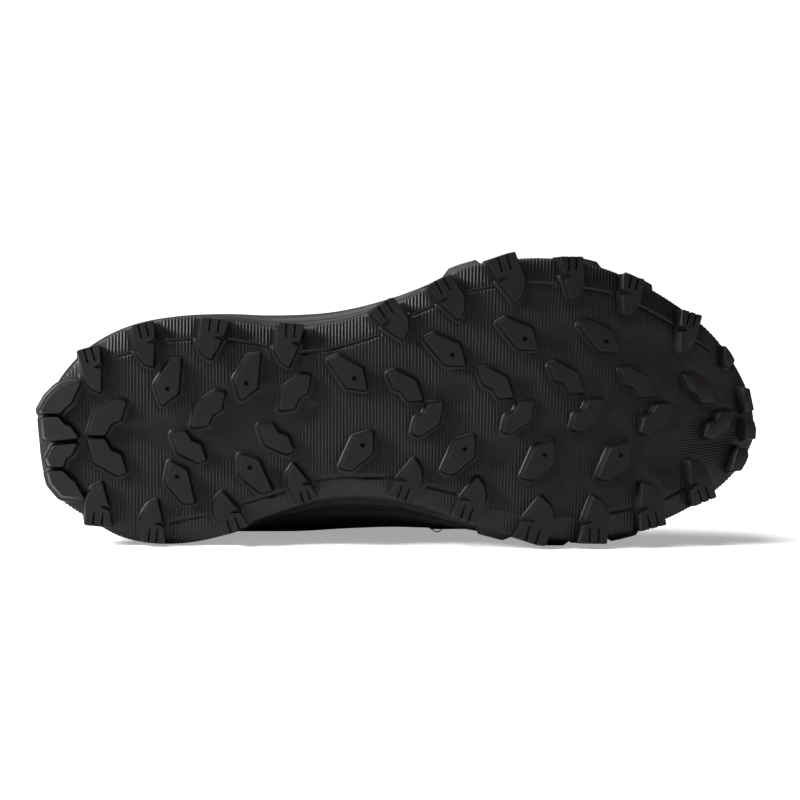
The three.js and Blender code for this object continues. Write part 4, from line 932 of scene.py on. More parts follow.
def treadHeight(points, toe):
    x, y = points[:, 0], points[:, 1]
    inset = outlineInset(points)
    ribs = np.ones(len(points))
    for corners, _, _ in lugs:
        low, high = corners.min(0) - 6, corners.max(0) + 6
        near = np.flatnonzero(((points > low) & (points < high)).all(1))
        if len(near):
            gap = signedDistance(points[near], corners)
            ribs[near] = np.minimum(ribs[near], smooth((gap - shoe["lugSkirt"] - 0.2) / tread["halo"]))
    hollow = np.zeros(len(points))
    low, high = np.min(heelFlame, 0) - 6, np.max(heelFlame, 0) + 6
    near = np.flatnonzero(((points > low) & (points < high)).all(1))
    gap = signedDistance(points[near], heelFlame)
    ribs[near] *= smooth((gap + 0.4) / 1.2)
    hollow[near] = np.maximum(hollow[near], 0.55 * smooth((-gap) / 3.5))
    for cx, cy, halfLong, halfWide in treadPockets:
        gap = (((x - cx) / halfLong) ** 2 + ((y - cy) / halfWide) ** 2) ** 0.5 - 1
        ribs *= smooth((gap + 0.05) / 0.16)
        hollow = np.maximum(hollow, smooth(-gap / 0.45))
    waist = (x > -42) & (x < 2) & (y > 0)
    ribs = np.where(waist, ribs * smooth((inset - 4.2) / 1.2), ribs)
    ribs *= smooth((x + 146) / 5)
    crease = np.zeros(len(points))
    for side, lines in creaseLines.items():
        across = np.abs(y - creaseY(x, side))
        shown = sum(smooth((x - line[0][0] + 0.5) / 1.5) * smooth((line[-1][0] + 0.5 - x) / 1.5) for line in lines)
        groove = np.exp(-(across / tread["creaseWidth"]) ** 2)
        lip = tread["creaseLip"] * np.exp(-((across - 1.1) / 0.4) ** 2)
        crease += (groove - lip) * shown
        ribs *= 1 - shown * bump(across, 1.3)
    if toe:
        wave = ribWave((y + tread["toeLean"] * x) / tread["toePitch"]) * smooth((x - tread["toeFrom"]) / tread["toeFade"])
    else:
        lean = tread["ribLean"] * np.clip(x / 60, 0, 1)
        wave = ribWave((x + lean * y) / tread["ribPitch"]) * smooth((tread["toeFrom"] - x) / tread["toeFade"])
    height = treadBase(x) + shoe["rimRise"] * edgeTurn(inset) + 0.45 * np.clip(1 - inset / 0.9, 0, 1) ** 2
    return height - tread["ribHeight"] * wave * ribs + tread["creaseDepth"] * crease + tread["pocketDepth"] * hollow


def creaseY(x, side):  # the crease as one curve along the whole side
    ends = [end for line in creaseLines[side] for end in line]
    return np.interp(x, [end[0] for end in ends], [end[1] for end in ends])


def sideColumns(x, side):  # y of each column near one edge, squeezed where the foot is narrow
    edge = edgeY(x, side)
    other = edgeY(x, "lateral" if side == "medial" else "medial")
    sign = -1 if side == "medial" else 1
    half = np.abs(edge - other) / 2
    deep = np.clip(sign * (creaseY(x, side) - edge), 0.18 * half, 0.8 * half)[:, None]
    crease = np.array(tread["creaseColumns"])[None] * np.minimum(1, half / 30)[:, None]
    middle = crease[:, -1:] / 2
    reach = np.concatenate([(deep - middle) * np.array(tread["edgeShares"][:-1])[None], deep - middle + crease], 1)
    return edge[:, None] + sign * reach


def makeTreadSkin():
    step = tread["ribPitch"] / tread["rowsPerRib"]
    x = np.arange(-shoe["soleLength"] / 2 + 0.02, tread["toeFrom"] + 0.2, step)
    medial, lateral = sideColumns(x, "medial"), sideColumns(x, "lateral")
    share = np.linspace(0, 1, tread["middleColumns"] + 2)[1:-1]
    middle = mixed(lateral[:, -1:], medial[:, -1:], share[None])
    y = np.concatenate([lateral, middle, medial[:, ::-1]], 1)
    points = np.stack([np.repeat(x[:, None], y.shape[1], 1), y], -1)
    height = treadHeight(points.reshape(-1, 2), False).reshape(y.shape)
    main = sheetMesh("treadMain", np.concatenate([points, height[..., None]], -1))
    turn = np.linspace(math.degrees(math.acos(-(tread["toeFrom"] - 0.3) / (shoe["soleLength"] / 2))), 180, 46)
    x = -np.cos(np.radians(turn)) * shoe["soleLength"] / 2
    share = np.linspace(0, 1, 400)
    y = mixed(outlineY(treadRows, 360 - turn)[:, None], outlineY(treadRows, turn)[:, None], share[None])
    points = np.stack([np.repeat(x[:, None], len(share), 1), y], -1)
    height = treadHeight(points.reshape(-1, 2), True).reshape(y.shape)
    toe = sheetMesh("treadToe", np.concatenate([points, height[..., None]], -1))
    mesh = joined("treadSkin", [facingAway(main, (0, 0, 60)), facingAway(toe, (60, 0, 80))])
    return newObject("treadSkin", mesh, materials["treadRubber"])


makeTreadSkin()
print("tread skin made")

sideWall = {"steps": 2000, "ribHeight": 0.3, "inset": [1.6, 0.6, 0.15, 0, 0, 0, 0, 0, 0, 0, 0.5, 1.4, 2.2, 2.2],
            "rise": [0.35, 0.1, 0.3, 0.8, 1.6, 2.4, 3.2, 4.0, 4.8, 5.4, 5.95, 6.0, 5.8, 1.4],
            "rib": [0, 0, 0, 0.6, 1, 1, 1, 1, 0.7, 0, 0, 0, 0, 0]}


def makeSideWall():
    turns = np.linspace(0, 360, sideWall["steps"] + 1)
    turns[-1] = 0
    base = footOutline(turns, 0, np.zeros_like(turns))
    away = np.abs(footOutline(turns, 0, np.ones_like(turns)) - base)
    ribs = ribWave(base[:, 0] / tread["ribPitch"]) * smooth((away[:, 1] - 0.35) / 0.3)
    ribs *= 1 - smooth((base[:, 0] + 44) / 3) * smooth((4 - base[:, 0]) / 3) * (base[:, 1] > 0)
    rings = []
    for inset, rise, rib in zip(sideWall["inset"], sideWall["rise"], sideWall["rib"]):
        at = footOutline(turns, 0, inset - sideWall["ribHeight"] * rib * ribs)
        rings.append(np.column_stack([at, treadBase(base[:, 0]) + shoe["rimRise"] + rise]))
    rings.append(rings[0])
    mesh = closedGrid("soleSide", np.stack(rings, 1))
    return newObject("soleSide", mesh, materials["treadRubber"])


makeSideWall()
print("sole side made")

midsoleShape = {
    "steps": 540, "blockProud": 2.2, "blockLow": 0.05, "blockHigh": 0.55, "blockEdge": 0.09,
    "medialBlocks": [(103, 108), (114, 118), (126, 132)], "lateralBlocks": [(98, 103), (120, 124), (129, 135)],
    "grooves": [0.2, 0.66], "grooveDepth": 0.55, "grooveWidth": 0.035,
}


def rimRing(turns, push):
    at = upperPoint(turns, 1, 0)
    foot = upperPoint(turns, 1, np.where(np.abs(push) < 1e-6, 1e-3, push))
    out = foot[:, :2] - at[:, :2]
    out /= np.linalg.norm(out, axis=1, keepdims=True)
    return np.column_stack([at[:, :2] + out * np.reshape(push, (-1, 1)), at[:, 2]])


def centreLine(turns, rows, share, height):
    x = -np.cos(np.radians(turns)) * shoe["soleLength"] / 2 * share
    folded = sideAngle(turns)
    y = (outlineY(rows, folded) + outlineY(rows, 360 - folded)) / 2
    return np.column_stack([x, y, height(x)])


def makeMidsole():
    turns = np.linspace(0, 360, midsoleShape["steps"] + 1)
    turns[-1] = 0
    angle = sideAngle(turns)
    medial = turns <= 180
    inTray = shoe["trayEdge"] + shoe["clearance"]

    def ring(toFeather, inset, height):
        at = footOutline(turns, toFeather, np.broadcast_to(inset, turns.shape))
        return np.column_stack([at, height(at[:, 0])])

    under = lambda x: treadBase(x) + shoe["rubberThickness"] + shoe["clearance"]
    rings = [centreLine(turns, treadRows, 0.9, under), ring(0, shoe["creaseInset"], under),
             ring(0, inTray, lambda x: under(x) + shoe["rimRise"]),
             ring(0, inTray, lambda x: trayTop(x) - 0.6),
             ring(0, inTray - 0.3, lambda x: trayTop(x) - 0.2)]
    heights = np.linspace(0, 1, 34)
    place = np.linspace(0, 1, 5)
    outsets = np.interp(heights, sideRows["height"], sideRows["outset"])
    for _ in range(2):
        outsets[1:-1] = (outsets[:-2] + 2 * outsets[1:-1] + outsets[2:]) / 4
    for height, outset in zip(heights, outsets):
        proud = np.zeros_like(turns)
        up = smooth((height - midsoleShape["blockLow"]) / 0.06) * smooth(
            (midsoleShape["blockHigh"] - height) / midsoleShape["blockEdge"])
        for side, blocks in (("medial", midsoleShape["medialBlocks"]), ("lateral", midsoleShape["lateralBlocks"])):
            for start, end in blocks:
                within = smooth((angle - start + 0.3) / 0.6) * smooth((end - angle + 0.3) / 0.6)
                proud += within * up * (medial if side == "medial" else ~medial) * midsoleShape["blockProud"]
        groove = sum(np.exp(-((height - at) / midsoleShape["grooveWidth"]) ** 2) for at in midsoleShape["grooves"])
        offset = outset * shoe["rimThickness"] + proud - groove * midsoleShape["grooveDepth"] * (proud < 0.2)
        rim = rimRing(turns, shoe["rimThickness"] + offset)
        low = footOutline(turns, 0, -offset)
        tray = np.column_stack([low, trayTop(low[:, 0]) + shoe["clearance"] * 0.4])
        rings.append(mixed(tray, rim, height))
    for push, rise in ((shoe["rimThickness"] - 0.25, 0.32), (shoe["rimThickness"] - 0.8, 0.55), (2.0, 0.62), (1.2, 0.45),
                       (shoe["clearance"] * 0.5, 0.1)):
        at = rimRing(turns, np.full_like(turns, push))
        rings.append(at + np.array([0, 0, rise]))
    rings += [ring(1, -shoe["clearance"], footbed), centreLine(turns, featherRows, shoe["featherShare"], footbed)]
    mesh = closedGrid("midsole", np.stack(rings, 1))
    return newObject("midsoleFoam", mesh, materials["sideFoam"], ["midsole"])


makeMidsole()
print("midsole made")


def makeInsole():
    turns = np.linspace(0, 360, 361)
    turns[-1] = 0
    edge = shoe["upperWall"] + 3 * shoe["clearance"]
    rings = []
    for inset, height in ((None, 0), (edge + 6, 0), (edge + 0.6, 0), (edge, 0.8), (edge, 3.2), (edge + 0.5, 3.85),
                          (edge + 1.4, 4), (edge + 8, 3.7), (None, 3.2)):
        rise = lambda x: footbed(x) + shoe["clearance"] + height
        if inset is None:
            rings.append(centreLine(turns, featherRows, 0.85, rise))
        else:
            at = footOutline(turns, 1, np.full_like(turns, inset))
            rings.append(np.column_stack([at, rise(at[:, 0])]))
    points = np.stack(rings, 1)
    mesh = closedGrid("insole", points, uv=points[..., :2])
    return newObject("insoleBoard", mesh, materials["liningCloth"], ["insole"])


makeInsole()
print("insole made")

# Soft creases of the upper: place by turn and level, lean in degrees of turn for each level, size in millimetres
creases = [
    {"turn": 118, "level": 4.6, "lean": 1.6, "reach": 2.6, "width": 3.4, "depth": 1.1},
    {"turn": 125, "level": 4.2, "lean": 1.2, "reach": 2.8, "width": 3.0, "depth": 1.3},
    {"turn": 132, "level": 4.0, "lean": 0.6, "reach": 2.4, "width": 3.2, "depth": 1.0},
    {"turn": 238, "level": 4.4, "lean": -1.4, "reach": 2.7, "width": 3.2, "depth": 1.2},
    {"turn": 231, "level": 4.2, "lean": -0.8, "reach": 2.6, "width": 3.0, "depth": 1.1},
    {"turn": 245, "level": 4.8, "lean": -1.8, "reach": 2.2, "width": 3.6, "depth": 0.9},
    {"turn": 68, "level": 5.4, "lean": 3.2, "reach": 2.2, "width": 4.2, "depth": 1.2},
    {"turn": 292, "level": 5.4, "lean": -3.2, "reach": 2.2, "width": 4.2, "depth": 1.1},
    {"turn": 152, "level": 6.6, "lean": 0.4, "reach": 1.7, "width": 3.0, "depth": 0.7},
    {"turn": 207, "level": 6.6, "lean": -0.4, "reach": 1.7, "width": 3.0, "depth": 0.8},
]


def creaseDepth(turn, level):  # below zero in a trough, above it on the soft ridges beside it
    total = np.zeros(np.broadcast(turn, level).shape)
    for fold in creases:
        away = (turn - fold["turn"] - fold["lean"] * (level - fold["level"])) * 2.3 / fold["width"]
        fade = bump(level - fold["level"], fold["reach"])
        trough = -np.exp(-away ** 2) + 0.45 * np.exp(-(np.abs(away) - 1.9) ** 2)
        total += fold["depth"] * trough * fade
    return total


def upperSkin(turn, level, push):
    return upperPoint(turn, level, push + creaseDepth(np.mod(turn, 360), level))


upperShape = {"steps": 400, "levels": 62, "collarPad": 4.6}


def makeUpper():
    turns = np.linspace(0, 360, upperShape["steps"] + 1)
    turns[-1] = 0
    levels = np.concatenate([[0, 0.5], np.linspace(0.95, shoe["upperSteps"], upperShape["levels"])])
    wall = shoe["upperWall"]
    grid = [upperSkin(turns, level, 0.0) for level in levels]
    lift = grid[-1] - grid[-2]
    lift /= np.linalg.norm(lift, axis=1, keepdims=True)
    for roll in (30, 60, 90, 120, 150):
        at = upperSkin(turns, levels[-1], -wall / 2 * (1 - math.cos(math.radians(roll))))
        grid.append(at + lift * wall / 2 * math.sin(math.radians(roll)))
    grid += [upperSkin(turns, level, -wall) for level in levels[::-3]]
    grid += [upperSkin(turns, 0, -wall), grid[0]]
    points = np.stack(grid, 1)
    run = np.concatenate([[0], np.cumsum(np.linalg.norm(np.diff(points, axis=1), axis=2).mean(0))])
    uv = np.stack(np.meshgrid(np.linspace(0, 800, len(turns)), run, indexing="ij"), -1)
    mesh = cutAway(closedGrid("upper", points, uv=uv), holeCutter(), "upperKnit")
    return newObject("upperShell", mesh, materials["knitUpper"], ["upper"])



# Overlays: lower and upper edge by angle, in levels of the upper
overlays = {
    "toeCap": {"from": 126, "to": 234, "angle": [126, 145, 165, 180], "low": [1.07] * 4, "high": [1.55, 2.3, 3.1, 3.4],
               "node": "toe_cap"},
    "heelCounter": {"from": -50, "to": 50, "angle": [0, 16, 34, 50], "low": [1.07] * 4, "high": [6.2, 5.9, 4.2, 1.9],
                    "node": "heel_counter"},
    "eyestay": {"from": 91, "to": 269, "angle": [90, 120, 150, 180], "low": [7.5, 7.45, 7.7, 8.0], "high": [8.93] * 4,
                "node": "eyestay"},
}


def patchPoints(one, across, along, push, back, edge=0.8, lean=0.0):
    # a closed patch on the upper: its front is rounded down to its back at all four edges
    start, end = one["from"], one["to"]
    turns = np.linspace(start, end, across)
    shares = 0.5 - 0.5 * np.cos(np.linspace(0, np.pi, along))
    folded = sideAngle(turns)
    lows, highs = column(one, "low", folded), column(one, "high", folded)
    level = mixed(lows[:, None], highs[:, None], shares[None])
    turn = turns[:, None] + lean * (level - lows[:, None])
    gapAlong = np.minimum(level - lows[:, None], highs[:, None] - level) * 8.5
    gapAcross = np.minimum(turns - start, end - turns)[:, None] * 2.2
    inner = np.clip(np.minimum(gapAlong, gapAcross) / edge, 0, 1)
    rounding = np.sqrt(1 - (1 - inner) ** 2)
    front = upperSkin(turn, level, mixed(back, push, rounding))
    behind = upperSkin(turn, level, np.full_like(level, back))[:, ::-1]
    uv = np.stack([turn * 2.2, level * 8.5], -1)
    return (np.concatenate([front, behind, front[:, :1]], 1),
            np.concatenate([uv, uv[:, ::-1], uv[:, :1]], 1))


def holeCutter():  # one cylinder through each lace hole
    bm = bmesh.new()
    for angle in laceShape["angles"]:
        for turn in (angle, 360 - angle):
            low = upperPoint(turn, laceShape["level"], -6.0).reshape(3)
            high = upperPoint(turn, laceShape["level"], 6.0).reshape(3)
            low, high = Vector(toWorld(low)), Vector(toWorld(high))
            spin = (high - low).to_track_quat("Z", "Y").to_matrix().to_4x4()
            bmesh.ops.create_cone(bm, cap_ends=True, segments=24, radius1=0.0022, radius2=0.0022,
                                  depth=(high - low).length, matrix=Matrix.Translation((low + high) / 2) @ spin)
    cutter = bpy.data.meshes.new("laceHoles")
    bm.to_mesh(cutter)
    bm.free()
    return cutter


def makeOverlays():
    film = shoe["overlayGap"] + shoe["overlayThickness"]
    for name, one in overlays.items():
        points, uv = patchPoints(one, 300 if name != "heelCounter" else 200, 40, film, 0.1)
        mesh = closedGrid(name, points, uv=uv)
        if name == "eyestay":
            mesh = cutAway(mesh, holeCutter(), "eyestayFilm")
        label = name if name != "eyestay" else "eyestayFilm"
        newObject(label, mesh, materials["overlayFilm"], [one["node"]])
    meshes = []
    for strip in strips:
        for side in (1, -1):
            one = dict(strip)
            if side < 0:
                one["from"], one["to"] = 360 - strip["to"], 360 - strip["from"]
            steps = (max(14, int((strip["to"] - strip["from"]) * 2.5)), 60)
            points, uv = patchPoints(one, *steps, strip["push"], 0.05, 0.7, side * strip["lean"])
            meshes.append(closedGrid("strip", points, uv=uv))
    newObject("sidePanels", joined("sidePanels", meshes), materials["overlayFilm"])


# Thin films on the sides, drawn for the medial side and mirrored: a low rand and a plain saddle
strips = [
    {"from": 50.5, "to": 125.5, "angle": [50, 70, 105, 126], "low": [1.06] * 4, "high": [1.75, 1.35, 1.35, 1.5],
     "push": 0.75, "lean": 0.0},
    {"from": 97, "to": 117, "angle": [90, 120], "low": [1.25] * 2, "high": [7.4] * 2, "push": 0.6, "lean": 0.25},
]
laceShape = {"angles": [97, 107.5, 119, 131, 146], "level": 8.2, "over": 1.9, "ringRadius": 2.75, "ringTube": 1.15}
makeUpper()
print("upper made")
makeOverlays()
print("overlays made")

collarShape = {"from": -87, "to": 87, "angle": [0, 30, 60, 87], "low": [5.0, 5.3, 6.0, 7.0], "high": [8.95] * 4,
               "pad": 5.0, "soft": 11.0}


def makeCollar():  # padded lining round the ankle
    points, uv = patchPoints(collarShape, 240, 44, -shoe["upperWall"] - collarShape["pad"], -shoe["upperWall"] + 0.6,
                             collarShape["soft"])
    obj = newObject("collarPad", closedGrid("collarPad", points, uv=uv), materials["liningCloth"])


makeCollar()


def makeRings():
    meshes = []
    turns = np.arange(28) * 2 * np.pi / 28
    for angle in laceShape["angles"]:
        for turn in (angle, 360 - angle):
            high = upperPoint(turn, laceShape["level"], 2.0).reshape(3)
            at = upperPoint(turn, laceShape["level"], 1.65).reshape(3)
            ahead = (upperPoint(turn + 1, laceShape["level"], 1.65).reshape(3) - at)
            normal = (high - at) / np.linalg.norm(high - at)
            ahead -= normal * (ahead @ normal)
            ahead /= np.linalg.norm(ahead)
            aside = np.cross(normal, ahead)
            path = at + laceShape["ringRadius"] * (np.cos(turns)[:, None] * ahead + np.sin(turns)[:, None] * aside)
            profile = ovalProfile(laceShape["ringTube"], 0.9, 8)
            meshes.append(sweep("ring", path, np.repeat(normal[None], 28, 0), profile, closed=True))
    newObject("laceRings", joined("laceRings", meshes), materials["ringMetal"])


makeRings()


def makeHeelLoop():  # webbing loop behind the heel
    stops = [upperPoint(0.0, level, push).reshape(3) for level, push in (
        (6.9, 1.9), (7.6, 2.1), (8.3, 2.3), (8.9, 3.0))]
    top = upperPoint(0.0, 9.0, 0.0).reshape(3)
    stops += [top + np.array([-1.5, 0, 5.5]), top + np.array([2.0, 0, 7.6]), top + np.array([5.5, 0, 5.0])]
    stops += [top + np.array([7.2, 0, -1.0]), top + np.array([8.6, 0, -8.0])]
    path = smoothPath(stops, 8)
    up = np.cross(np.array([0, 1.0, 0]), np.gradient(path, axis=0))
    obj = newObject("heelLoop", sweep("heelLoop", path, up, ovalProfile(13, 1.5, 16, 4.0)), materials["laceCord"])
    return obj


makeHeelLoop()

seams = [  # rows of stitches: the first and last turn, the overlay and its edge, and how far inside it
    (93.5, 266.5, "eyestay", "low", 0.2), (93.5, 266.5, "eyestay", "high", -0.2),
    (128, 232, "toeCap", "high", -0.16), (128, 232, "toeCap", "high", -0.36),
    (-49, 49, "heelCounter", "high", -0.2),
]
saddleSeams = (98.2, 115.8)
stitch = {"step": 2.6, "length": 1.9, "radius": 0.3}


def makeStitches():
    bm = bmesh.new()
    rows = []
    for first, last, name, edge, inside in seams:
        turns = np.linspace(first, last, 1500)
        rows.append((turns, column(overlays[name], edge, sideAngle(turns)) + inside))
    for start in saddleSeams:
        levels = np.linspace(1.5, 7.2, 800)
        turns = start + strips[1]["lean"] * (levels - strips[1]["low"][0])
        rows += [(turns, levels), (360 - turns, levels)]
    for turns, levels in rows:
        path = upperSkin(turns, levels, 1.66)
        raised = upperSkin(turns, levels, 2.66) - path
        run = np.concatenate([[0], np.cumsum(np.linalg.norm(np.diff(path, axis=0), axis=1))])
        for along in np.arange(stitch["step"], run[-1] - stitch["step"] / 2, stitch["step"]):
            k = min(int(np.searchsorted(run, along)), len(path) - 2)
            ahead = Vector(path[k + 1] - path[k - 1]).normalized()
            normal = Vector(raised[k]).normalized()
            aside = normal.cross(ahead).normalized()
            turn = Matrix((ahead * stitch["length"] / 2, aside * stitch["radius"], normal * stitch["radius"]))
            place = Matrix.Translation(Vector(path[k])) @ turn.transposed().to_4x4()
            bmesh.ops.create_uvsphere(bm, u_segments=6, v_segments=4, radius=1, matrix=place)
    bmesh.ops.recalc_face_normals(bm, faces=bm.faces)
    shoeToWorld(bm)
    mesh = bpy.data.meshes.new("stitches")
    bm.to_mesh(mesh)
    bm.free()
    newObject("stitches", mesh, materials["thread"])


makeStitches()
print("collar, rings and stitches made")

tongueShape = {"angles": [96, 104, 113, 123, 134, 147, 160], "arch": 0.022, "flatFrom": 158, "topWidth": 0.66,
               "levels": [7.9, 8.2, 8.5, 8.75, 9], "rise": 0.45}


def makeTongue():
    under = -(shoe["upperWall"] + 2 * shoe["clearance"])

    def section(angle):
        depth = under - (4 * shoe["clearance"] if angle > tongueShape["flatFrom"] else 0)
        levels = np.array(tongueShape["levels"])
        medial = upperPoint(np.full(5, angle), levels, depth)
        lateral = upperPoint(np.full(5, 360.0 - angle), levels, depth)[::-1]
        t = np.linspace(0, 1, 11)[1:-1, None]
        crown = mixed(medial[-1], lateral[0], t)
        fade = np.clip((tongueShape["flatFrom"] - angle) / 40, 0, 1)
        crown[:, 2] += (tongueShape["arch"] * shoe["ballWidth"] * 4 * t * (1 - t) * fade)[:, 0]
        return np.concatenate([medial, crown, lateral])

    top = section(tongueShape["angles"][0])
    middle = top[len(top) // 2]
    aside = (top[:, 1] - middle[1]) / (0.3 * shoe["ballWidth"])
    free = np.column_stack([middle[0] - 0.085 * shoe["soleLength"] + 0.02 * shoe["soleLength"] * aside ** 2,
                            middle[1] + (top[:, 1] - middle[1]) * tongueShape["topWidth"],
                            shoe["tongueHeight"] - 0.05 * shoe["instepHeight"] * aside ** 2])
    half = mixed(top, free, 0.45)
    half[:, 1] = free[:, 1]
    nose = upperPoint(np.interp(np.linspace(-4, 4, len(top)), [-4, 4], [180 - 33, 180 + 33]), 8.0,
                      under - 2 * shoe["clearance"])
    rows = np.array([free, half] + [section(angle) for angle in tongueShape["angles"]] + [nose])
    fine = np.stack([smoothPath(rows[:, c], 10) for c in range(rows.shape[1])], 1)
    along = np.gradient(fine, axis=0)
    wide = np.gradient(fine, axis=1)
    normal = np.cross(along, wide)
    normal /= np.linalg.norm(normal, axis=2, keepdims=True)
    normal *= np.where(normal[..., 2:] > 0, 1, -1)
    run = np.linspace(0, 1, fine.shape[0])[:, None]
    over = np.linspace(0, 1, fine.shape[1])[None]
    edge = np.sqrt(np.clip(1 - (1 - np.clip(np.minimum(over, 1 - over) / 0.09, 0, 1)) ** 2, 0, 1))
    edge = edge * np.sqrt(np.clip(1 - (1 - np.clip(run / 0.03, 0, 1)) ** 2, 0, 1))
    pad = 1 + 0.5 * bump(run - 0.1, 0.12) * bump(over - 0.5, 0.45)
    thick = shoe["tongueThickness"] * pad * mixed(0.25, 1, edge)
    middleSheet = fine - normal * shoe["tongueThickness"] / 2
    front = middleSheet + normal * (thick / 2)[..., None]
    behind = (middleSheet - normal * (thick / 2)[..., None])[:, ::-1]
    loop = np.concatenate([front, behind, front[:, :1]], 1)
    loop = np.concatenate([np.repeat(loop[:1].mean(1, keepdims=True), loop.shape[1], 1) * 0.2 + loop[:1] * 0.8, loop,
                           loop[-1:]], 0)
    ends = [np.concatenate([middleSheet[k], middleSheet[k][::-1], middleSheet[k][:1]])[None] for k in (0, -1)]
    loop = np.concatenate([ends[0], loop[1:-1], ends[1]], 0)
    uv = np.stack(np.meshgrid(np.linspace(0, 170, loop.shape[0]), np.linspace(0, 130, loop.shape[1]),
                              indexing="ij"), -1)
    mesh = closedGrid("tongue", loop, uv=uv)
    obj = newObject("tonguePad", mesh, materials["liningCloth"], ["tongue"])
    return obj


makeTongue()
print("tongue made")


def lacePath(medialAngle, lateralAngle, over):
    lift = shoe["overlayGap"] + shoe["overlayThickness"] + 2 * shoe["clearance"] + shoe["laceThickness"] / 2
    stops = []
    for turn, level, push in ((medialAngle, laceShape["level"] - 0.02, -3.5), (medialAngle, laceShape["level"], 0.6),
                              (mixed(medialAngle, lateralAngle, 0.05), laceShape["level"] + 0.22, lift),
                              (mixed(medialAngle, lateralAngle, 0.2), 8.95, lift)):
        stops.append(upperPoint(float(turn), float(level), float(push)).reshape(3))
    for turn, level, push in ((mixed(medialAngle, lateralAngle, 0.8), 8.95, lift),
                              (mixed(medialAngle, lateralAngle, 0.95), laceShape["level"] + 0.22, lift),
                              (lateralAngle, laceShape["level"], 0.6), (lateralAngle, laceShape["level"] - 0.02, -3.5)):
        stops.append(upperPoint(360 - float(turn), float(level), float(push)).reshape(3))
    crossing = mixed(stops[3], stops[4], 0.5) + np.array([0, 0, tongueShape["arch"] * shoe["ballWidth"] * 0.7 + over])
    stops.insert(4, crossing)
    path = smoothPath(stops, 12)
    share = np.linspace(0, 1, len(path))[:, None]
    low = upperPoint(float(medialAngle), 8.4, 1.0) - upperPoint(float(medialAngle), 8.4, 0.0)
    high = upperPoint(360 - float(lateralAngle), 8.4, 1.0) - upperPoint(360 - float(lateralAngle), 8.4, 0.0)
    up = mixed(low.reshape(1, 3), high.reshape(1, 3), smooth(share))
    return path, up / np.linalg.norm(up, axis=1, keepdims=True)


def makeLaces():
    angles = laceShape["angles"]
    runs = [(angles[-1], angles[-1], 0.0)]
    for i in range(len(angles) - 1):
        runs += [(angles[i], angles[i + 1], 0.0), (angles[i + 1], angles[i], laceShape["over"])]
    meshes = []
    for k, (medial, lateral, over) in enumerate(runs):
        path, up = lacePath(medial, lateral, over)
        count = len(path)
        squeeze = 1 - 0.45 * (bump(np.arange(count), 16) + bump(np.arange(count) - count + 1, 16))
        profile = ovalProfile(shoe["laceWidth"], shoe["laceThickness"], 14, 3.0)[None] * np.stack(
            [squeeze, mixed(1.25, 1, squeeze)], 1)[:, None]
        meshes.append(sweep("lace", path, up, profile, uvScale=1.0))
    mesh = joined("laces", meshes)
    return newObject("laceRuns", mesh, materials["laceCord"], ["laces"])


makeLaces()
print("laces made")

# Floor, light and camera
view = {"centre": (0.4, 0.0, 2.0), "distance": 1.3, "frame": 0.3261, "sensor": 36.0}


def shownStrength(tree, unseen, seen, socket):  # one strength for what lights the shoe, one for what the camera sees
    path = tree.nodes.new("ShaderNodeLightPath")
    strength = tree.nodes.new("ShaderNodeMapRange")
    strength.inputs["To Min"].default_value = unseen
    strength.inputs["To Max"].default_value = seen
    tree.links.new(path.outputs["Is Camera Ray"], strength.inputs["Value"])
    tree.links.new(strength.outputs["Result"], socket)


def makeStage():
    bm = bmesh.new()
    bmesh.ops.create_grid(bm, x_segments=1, y_segments=1, size=6)
    mesh = bpy.data.meshes.new("floor")
    bm.to_mesh(mesh)
    bm.free()
    floor = bpy.data.objects.new("floor", mesh)
    bpy.context.scene.collection.objects.link(floor)
    paint = bpy.data.materials.new("floorPaint")
    paint.use_nodes = True
    surface = paint.node_tree.nodes["Principled BSDF"]
    surface.inputs["Base Color"].default_value = (0.93, 0.93, 0.93, 1)
    surface.inputs["Roughness"].default_value = 0.9
    surface.inputs["Emission Color"].default_value = (1, 1, 1, 1)
    shownStrength(paint.node_tree, 0.0, light["floorGlow"], surface.inputs["Emission Strength"])
    mesh.materials.append(paint)


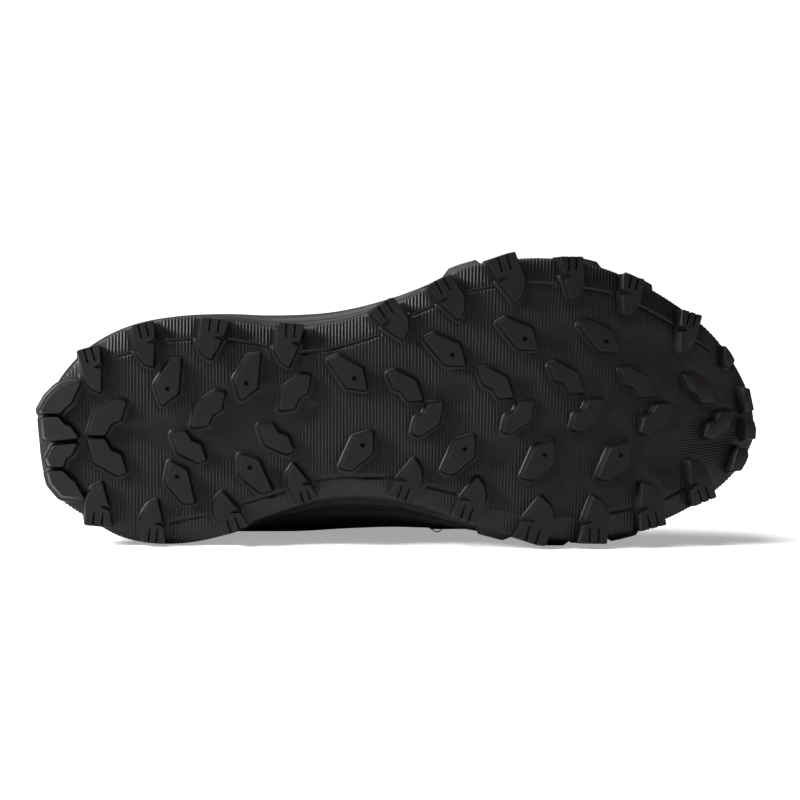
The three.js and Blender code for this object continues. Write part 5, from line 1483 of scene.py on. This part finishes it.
def makeLight(name, place, aim, power, size, colour=(1, 1, 1)):
    data = bpy.data.lights.new(name, "AREA")
    data.color = colour
    data.energy = power
    data.size = size
    light = bpy.data.objects.new(name, data)
    bpy.context.scene.collection.objects.link(light)
    light.location = place
    light.rotation_euler = (Vector(place) - Vector(aim)).to_track_quat("Z", "Y").to_euler()


def makeCamera():
    data = bpy.data.cameras.new("camera")
    data.sensor_width = view["sensor"]
    data.lens = view["sensor"] * view["distance"] / view["frame"]
    data.clip_start = 0.05
    camera = bpy.data.objects.new("camera", data)
    bpy.context.scene.collection.objects.link(camera)
    right, aside, up = (axes[:, k] for k in range(3))
    eye = toWorld(view["centre"]) - up * view["distance"]
    turn = Matrix((right, -aside, -up)).transposed()
    camera.matrix_world = Matrix.Translation(Vector(eye)) @ turn.to_4x4()
    bpy.context.scene.camera = camera


def makeWorld():  # the backdrop shows white, and lights the shoe less than it shows
    world = bpy.data.worlds.new("studio")
    world.use_nodes = True
    tree = world.node_tree
    shownStrength(tree, light["around"], light["backdrop"], tree.nodes["Background"].inputs["Strength"])
    tree.nodes["Background"].inputs["Color"].default_value = (1, 1, 1, 1)
    bpy.context.scene.world = world


def makeSun(strength):  # lights the floor evenly to the horizon
    data = bpy.data.lights.new("sun", "SUN")
    data.energy = strength
    data.angle = math.radians(36)
    sun = bpy.data.objects.new("sun", data)
    bpy.context.scene.collection.objects.link(sun)
    sun.rotation_euler = Vector((-0.4, -0.1, 1.0)).to_track_quat("Z", "Y").to_euler()


light = {"around": 0.06, "backdrop": 1.0, "key": 25, "rim": 9, "sun": 2.65, "fill": 1.2, "floorGlow": 0.36}
makeStage()
makeLight("key", (-1.05, -0.4, 0.62), (0, 0, 0.06), light["key"], 0.32)
makeLight("rim", (-0.4, 0.5, 1.6), (0, 0, 0.06), light["rim"], 0.7)
makeSun(light["sun"])
makeLight("fill", (1.5, -1.0, 0.5), (0.1, 0, 0.06), light["fill"], 0.8, (1.0, 0.68, 0.5))
makeWorld()
bpy.context.scene.view_settings.view_transform = "Standard"
makeCamera()
print("stage made")
